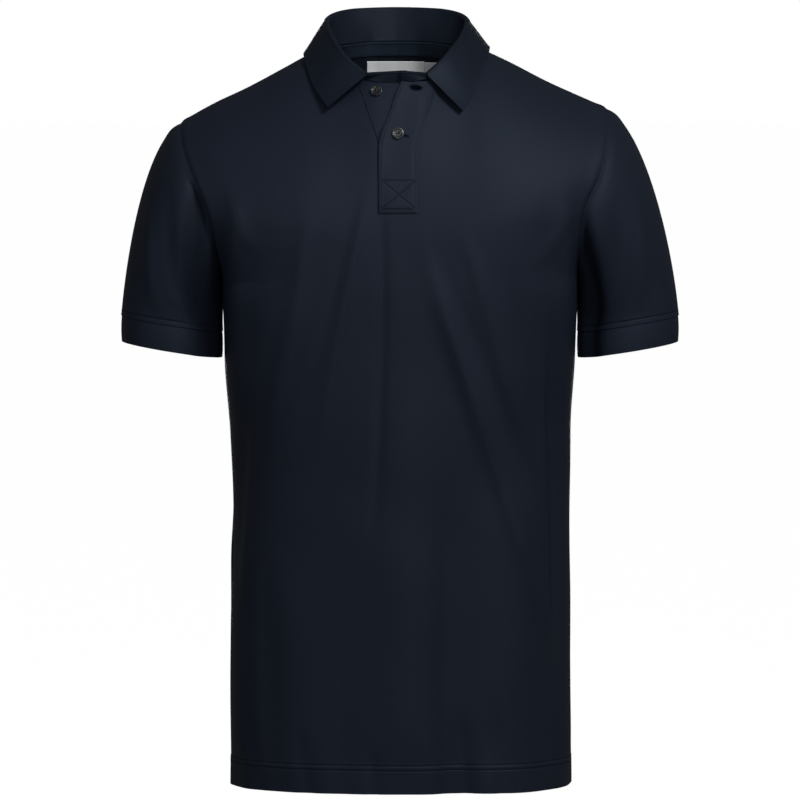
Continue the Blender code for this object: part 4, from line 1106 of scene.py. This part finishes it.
def tapeStitches():
    reach = trim["tapeReach"] - trim["stitchIn"]
    x = np.linspace(body["neckCentre"] - reach, body["neckCentre"] + reach, 90)
    depth = cloth["bodyWall"] + cloth["trimClear"] + cloth["trimWall"]
    rows = []
    for drop in trim["stitchDrops"]:
        path, normals = bodyPoint(x, tapeEdge(x, drop), "back", -depth)
        rows.append(stitchPath(path, -normals))
    return makeStitches("neck.stitches", rows, "tape")


# shader values that add and multiply like numbers
class Socket:
    def __init__(self, tree, out):
        self.tree, self.out = tree, out

    def maths(self, operation, *others):
        node = self.tree.nodes.new("ShaderNodeMath")
        node.operation = operation
        for place, value in zip(node.inputs, (self, *others)):
            feed(self.tree, place, value)
        return Socket(self.tree, node.outputs[0])

    def __add__(self, other):
        return self.maths("ADD", other)

    def __sub__(self, other):
        return self.maths("SUBTRACT", other)

    def __mul__(self, other):
        return self.maths("MULTIPLY", other)

    def __truediv__(self, other):
        return self.maths("DIVIDE", other)

    def __pow__(self, other):
        return self.maths("POWER", other)

    def __rsub__(self, other):
        return self.maths("MULTIPLY", -1.0).maths("ADD", other)

    __radd__ = __add__
    __rmul__ = __mul__

    def sine(self):
        return self.maths("SINE")

    def size(self):
        return self.maths("ABSOLUTE")

    # a ridge of height 1 where the value is zero
    def bell(self, halfWidth):
        return ((self / halfWidth) ** 2 * -1.0).maths("EXPONENT")


def feed(tree, place, value):
    if isinstance(value, Socket):
        tree.links.new(value.out, place)
    else:
        place.default_value = value


# any shader node by its type, settings and inputs
def addNode(tree, kind, settings=None, inputs=None, out=0):
    node = tree.nodes.new("ShaderNode" + kind)
    for key, value in (settings or {}).items():
        setattr(node, key, value)
    for key, value in (inputs or {}).items():
        feed(tree, node.inputs[key], value)
    return Socket(tree, node.outputs[out])


# a material and its tree
class Finish:
    def __init__(self, name, **sockets):
        self.material = bpy.data.materials.new(name)
        self.material.use_nodes = True
        self.tree = self.material.node_tree
        self.set(**sockets)

    def set(self, **sockets):
        for key, value in sockets.items():
            feed(self.tree, self.tree.nodes["Principled BSDF"].inputs[key.replace("_", " ")], value)

    def node(self, kind, settings=None, inputs=None, out=0):
        return addNode(self.tree, kind, settings, inputs, out)

    # cloth coordinates in metres, along and up
    def clothPlace(self):
        vector = self.node("UVMap", {"uv_map": "cloth"})
        return vector, *(self.node("SeparateXYZ", inputs={"Vector": vector}, out=axis) for axis in (0, 1))

    def noise(self, vector, size, detail=2.0):
        return self.node("TexNoise", inputs={"Vector": vector, "Scale": 1 / size, "Detail": detail})

    def shifted(self, vector):
        return (self.noise(vector, pique["shiftSize"]) - 0.5) * pique["shift"]

    # the weave's height in metres, and the factor on its colour
    def weave(self, colour, height, factor):
        bump = {"Strength": 1.0, "Distance": 1.0, "Height": height}
        grey = self.node("CombineXYZ", inputs={"X": factor, "Y": factor, "Z": factor})
        self.set(Normal=self.node("Bump", inputs=bump),
                 Base_Color=self.node("VectorMath", {"operation": "MULTIPLY"}, {0: colour, 1: grey}))
        return self.material


# finishes: linear colours, the size and height of each weave in metres, and how far it varies the colour,
# with painted shade in each weave's hollows and painted highlight on its crests
pique = {
    "colour": (0.0078, 0.0105, 0.0175), "across": 0.00150, "up": 0.00130, "height": 0.00005, "paintedHollowShade": 0.14,
    "shift": 0.00035, "shiftSize": 0.004, "speck": 0.0011, "speckShade": 0.9,
    "roughness": 0.52, "specular": 0.10, "tint": (0.66, 0.78, 1.0, 1.0),
    "groove": 0.00050, "grooveHalfWidth": 0.0009,
}
rib = {
    "colour": (0.0056, 0.0080, 0.0132), "across": 0.00130, "up": 0.0011, "height": 0.00003,
    "courses": 0.00001, "base": 0.95, "paintedHollowShade": 0.08, "streak": (0.0016, 0.02), "streakShade": 0.35,
}
tapeWeave = {
    "colour": (0.0180, 0.0275, 0.0430), "across": 0.0016, "up": 0.0008, "height": 0.00004, "paintedHollowShade": 0.12,
}
satin = {
    "colour": (0.74, 0.75, 0.76), "across": 0.00045, "up": 0.0006, "height": 0.00003, "paintedHollowShade": 0.02,
    "plain": 0.6, "swing": 0.4,
}
satinShader = {"Roughness": 0.42, "Specular_IOR_Level": 0.45, "Sheen_Weight": 0.05}
resin = {
    "Base_Color": (0.0040, 0.0045, 0.0060, 1.0), "Roughness": 0.30, "IOR": 1.5,
    "Coat_Weight": 0.3, "Coat_Roughness": 0.08,
}
threadFinish = {"colour": (0.0050, 0.0060, 0.0095), "roughness": 0.60}


def clothBase(name, colour, roughness=pique["roughness"]):
    return Finish(name, Roughness=roughness, IOR=1.45, Specular_IOR_Level=pique["specular"],
                  Specular_Tint=pique["tint"], Base_Color=(*colour, 1.0))


# pique: bumps and pits by turns, sin(u)·sin(v), slightly shifted by noise, with grooves at the given heights
def makePique(name, grooves=()):
    finish = clothBase(name, pique["colour"])
    place, u, v = finish.clothPlace()
    shift = finish.shifted(place)
    cell = ((u + shift) * (tau / pique["across"])).sine() * ((v + shift) * (tau / pique["up"])).sine()
    height = cell * pique["height"]
    for groove in grooves:
        height = height - (v - groove).bell(pique["grooveHalfWidth"]) * pique["groove"]
    speck = (finish.noise(place, pique["speck"], 1.0) - 0.5) * pique["speckShade"]
    # painted shade: the colour darkens in the weave's pits and lightens on its bumps; the specks are random
    # tone
    return finish.weave(pique["colour"], height, 1.0 + cell * pique["paintedHollowShade"] + speck)


# rib: rounded wales that run up the cloth, with fainter courses across them
def makeRib(name):
    finish = clothBase(name, rib["colour"])
    place, u, v = finish.clothPlace()
    wale = ((u + finish.shifted(place)) * (math.pi / rib["across"])).sine().size()
    course = (v * (tau / rib["up"])).sine()
    wide, long = rib["streak"]
    streak = finish.noise(finish.node("CombineXYZ", inputs={"X": u / wide, "Y": v / long}), 1.0, 1.0) - 0.5
    # painted shade: the colour darkens between the wales and lightens on their crests; the streaks are
    # random tone
    factor = rib["base"] + wale * rib["paintedHollowShade"] + streak * rib["streakShade"]
    return finish.weave(rib["colour"], wale * rib["height"] + course * rib["courses"], factor)


# herringbone: slanted ribs whose slant turns from one column to the next
def makeTape(name):
    finish = clothBase(name, tapeWeave["colour"])
    place, u, v = finish.clothPlace()
    slant = finish.node("Math", {"operation": "PINGPONG"}, {0: u, 1: tapeWeave["across"]})
    twill = ((v + slant) * (tau / tapeWeave["up"])).sine()
    # painted shade: the colour darkens in the twill's hollows and lightens on its ribs
    return finish.weave(tapeWeave["colour"], twill * tapeWeave["height"], 1.0 + twill * tapeWeave["paintedHollowShade"])


def makeSatin(name):
    finish = Finish(name, **satinShader)
    place, u, v = finish.clothPlace()
    warp = satin["plain"] + (u * (tau / satin["across"])).sine() * satin["swing"]
    weft = (v * (tau / satin["up"])).sine() * warp
    # painted shade: the colour darkens faintly in the satin's hollows and lightens on its raised threads
    return finish.weave(satin["colour"], weft * satin["height"], 1.0 + weft * satin["paintedHollowShade"])


# camera, lights and floor
studio = {
    "distance": 9.0, "elevation": 3.5, "target": (0.0, 0.0, -0.358), "lens": 405.0, "sensor": 36.0,
    "ambient": 0.10, "floorHeight": -1.9, "floorHalf": 60.0, "farthest": 400.0, "chest": (0.0, 0.0, -0.30),
    "white": (1.0, 1.0, 1.0, 1.0), "floorColour": (0.9, 0.9, 0.9, 1.0), "floorGlow": 0.9,
}
# place, width and watts of each softbox; each one looks at the chest
softboxes = {
    "key": ((1.0, -1.75, 1.5), 0.8, 63.0),
    "front": ((0.1, -3.0, 0.3), 1.0, 24.0),
    "right": ((3.0, -0.9, 0.4), 1.2, 8.0),
    "left": ((-2.6, -1.9, 0.4), 1.2, 17.0),
    "behind": ((0.0, 3.3, -0.1), 1.4, 40.0),
}


def aim(item, place, target):
    way = [there - here for there, here in zip(target, place)]
    item.location = place
    item.rotation_euler = (
        math.atan2(math.hypot(way[0], way[1]), -way[2]), 0.0, math.atan2(way[1], way[0]) - math.pi / 2)


def makeCamera():
    camera = addObject("camera", bpy.data.cameras.new("camera"))
    camera.data.lens, camera.data.sensor_width = studio["lens"], studio["sensor"]
    camera.data.clip_end = studio["farthest"]
    tilt, target = math.radians(studio["elevation"]), studio["target"]
    place = (target[0], target[1] - studio["distance"] * math.cos(tilt),
             target[2] + studio["distance"] * math.sin(tilt))
    aim(camera, place, target)
    bpy.context.scene.camera = camera


# the softboxes, and a world that lights faintly and looks white
def makeLights():
    for name, (place, width, watts) in softboxes.items():
        light = bpy.data.lights.new(name, "AREA")
        light.shape, light.size, light.energy = "SQUARE", width, watts
        aim(addObject(name, light), place, studio["chest"])
    world = bpy.data.worlds.new("studio")
    world.use_nodes = True
    bpy.context.scene.world = world
    tree = world.node_tree
    tree.nodes.clear()
    direct = addNode(tree, "LightPath", out="Is Camera Ray")
    ambient, seen = (addNode(tree, "Background", inputs={"Color": studio["white"], "Strength": strength})
                     for strength in (studio["ambient"], 1.0))
    mixed = addNode(tree, "MixShader", inputs={0: direct, 1: ambient, 2: seen})
    feed(tree, tree.nodes.new("ShaderNodeOutputWorld").inputs["Surface"], mixed)


# a white floor far below, which neither lights nor darkens the cloth
def makeFloor():
    half, height = studio["floorHalf"], studio["floorHeight"]
    corners = np.array([(x * half, y * half, height) for x, y in ((-1, -1), (1, -1), (1, 1), (-1, 1))])
    floor = addPiece("floor", corners, [(0, 1, 2, 3)])
    white = Finish("floor white", Base_Color=studio["floorColour"], Roughness=1.0,
                   Emission_Color=studio["white"], Emission_Strength=studio["floorGlow"])
    floor.data.materials.append(white.material)
    floor.visible_diffuse = floor.visible_glossy = False


materials = {
    "body": makePique("pique with hem", hemLines),
    "sleeve": makePique("pique with sleeve stitch", (cuffLine,)),
    "pique": makePique("pique"), "rib": makeRib("rib"),
    "tape": makeTape("tape"), "satin": makeSatin("satin"),
    "resin": Finish("resin", **resin).material, "thread": clothBase("thread", **threadFinish).material,
}
print("finishes:", len(materials))

made = makeBodyAndSleeves()
makePanels(made, makeCollar(made))
print("body and collar")

for side in ("right", "left"):
    makeSleeve(side, made)
    makeCuff(side, made)
print("sleeves and cuffs")

makeTopPlacket()
makeUnderPlacket()
makeTrim()
print("plackets, tape and labels")

buttonThreads = [makeButton("upper", 0.0), makeButton("lower", cloth["seamGap"] + cloth["placketWall"])]
print("buttons")

stitches = [hemStitches(made), placketStitches(), buttonholeStitches(),
            makeStitches("button.threads", buttonThreads), tapeStitches()]
stitches += [sleeveStitches(side, made) for side in ("right", "left")]
print("stitches:", sum(len(piece.data.polygons) for piece in stitches), "faces")

makeCamera()
makeLights()
makeFloor()
bpy.context.scene.view_settings.view_transform = "Standard"
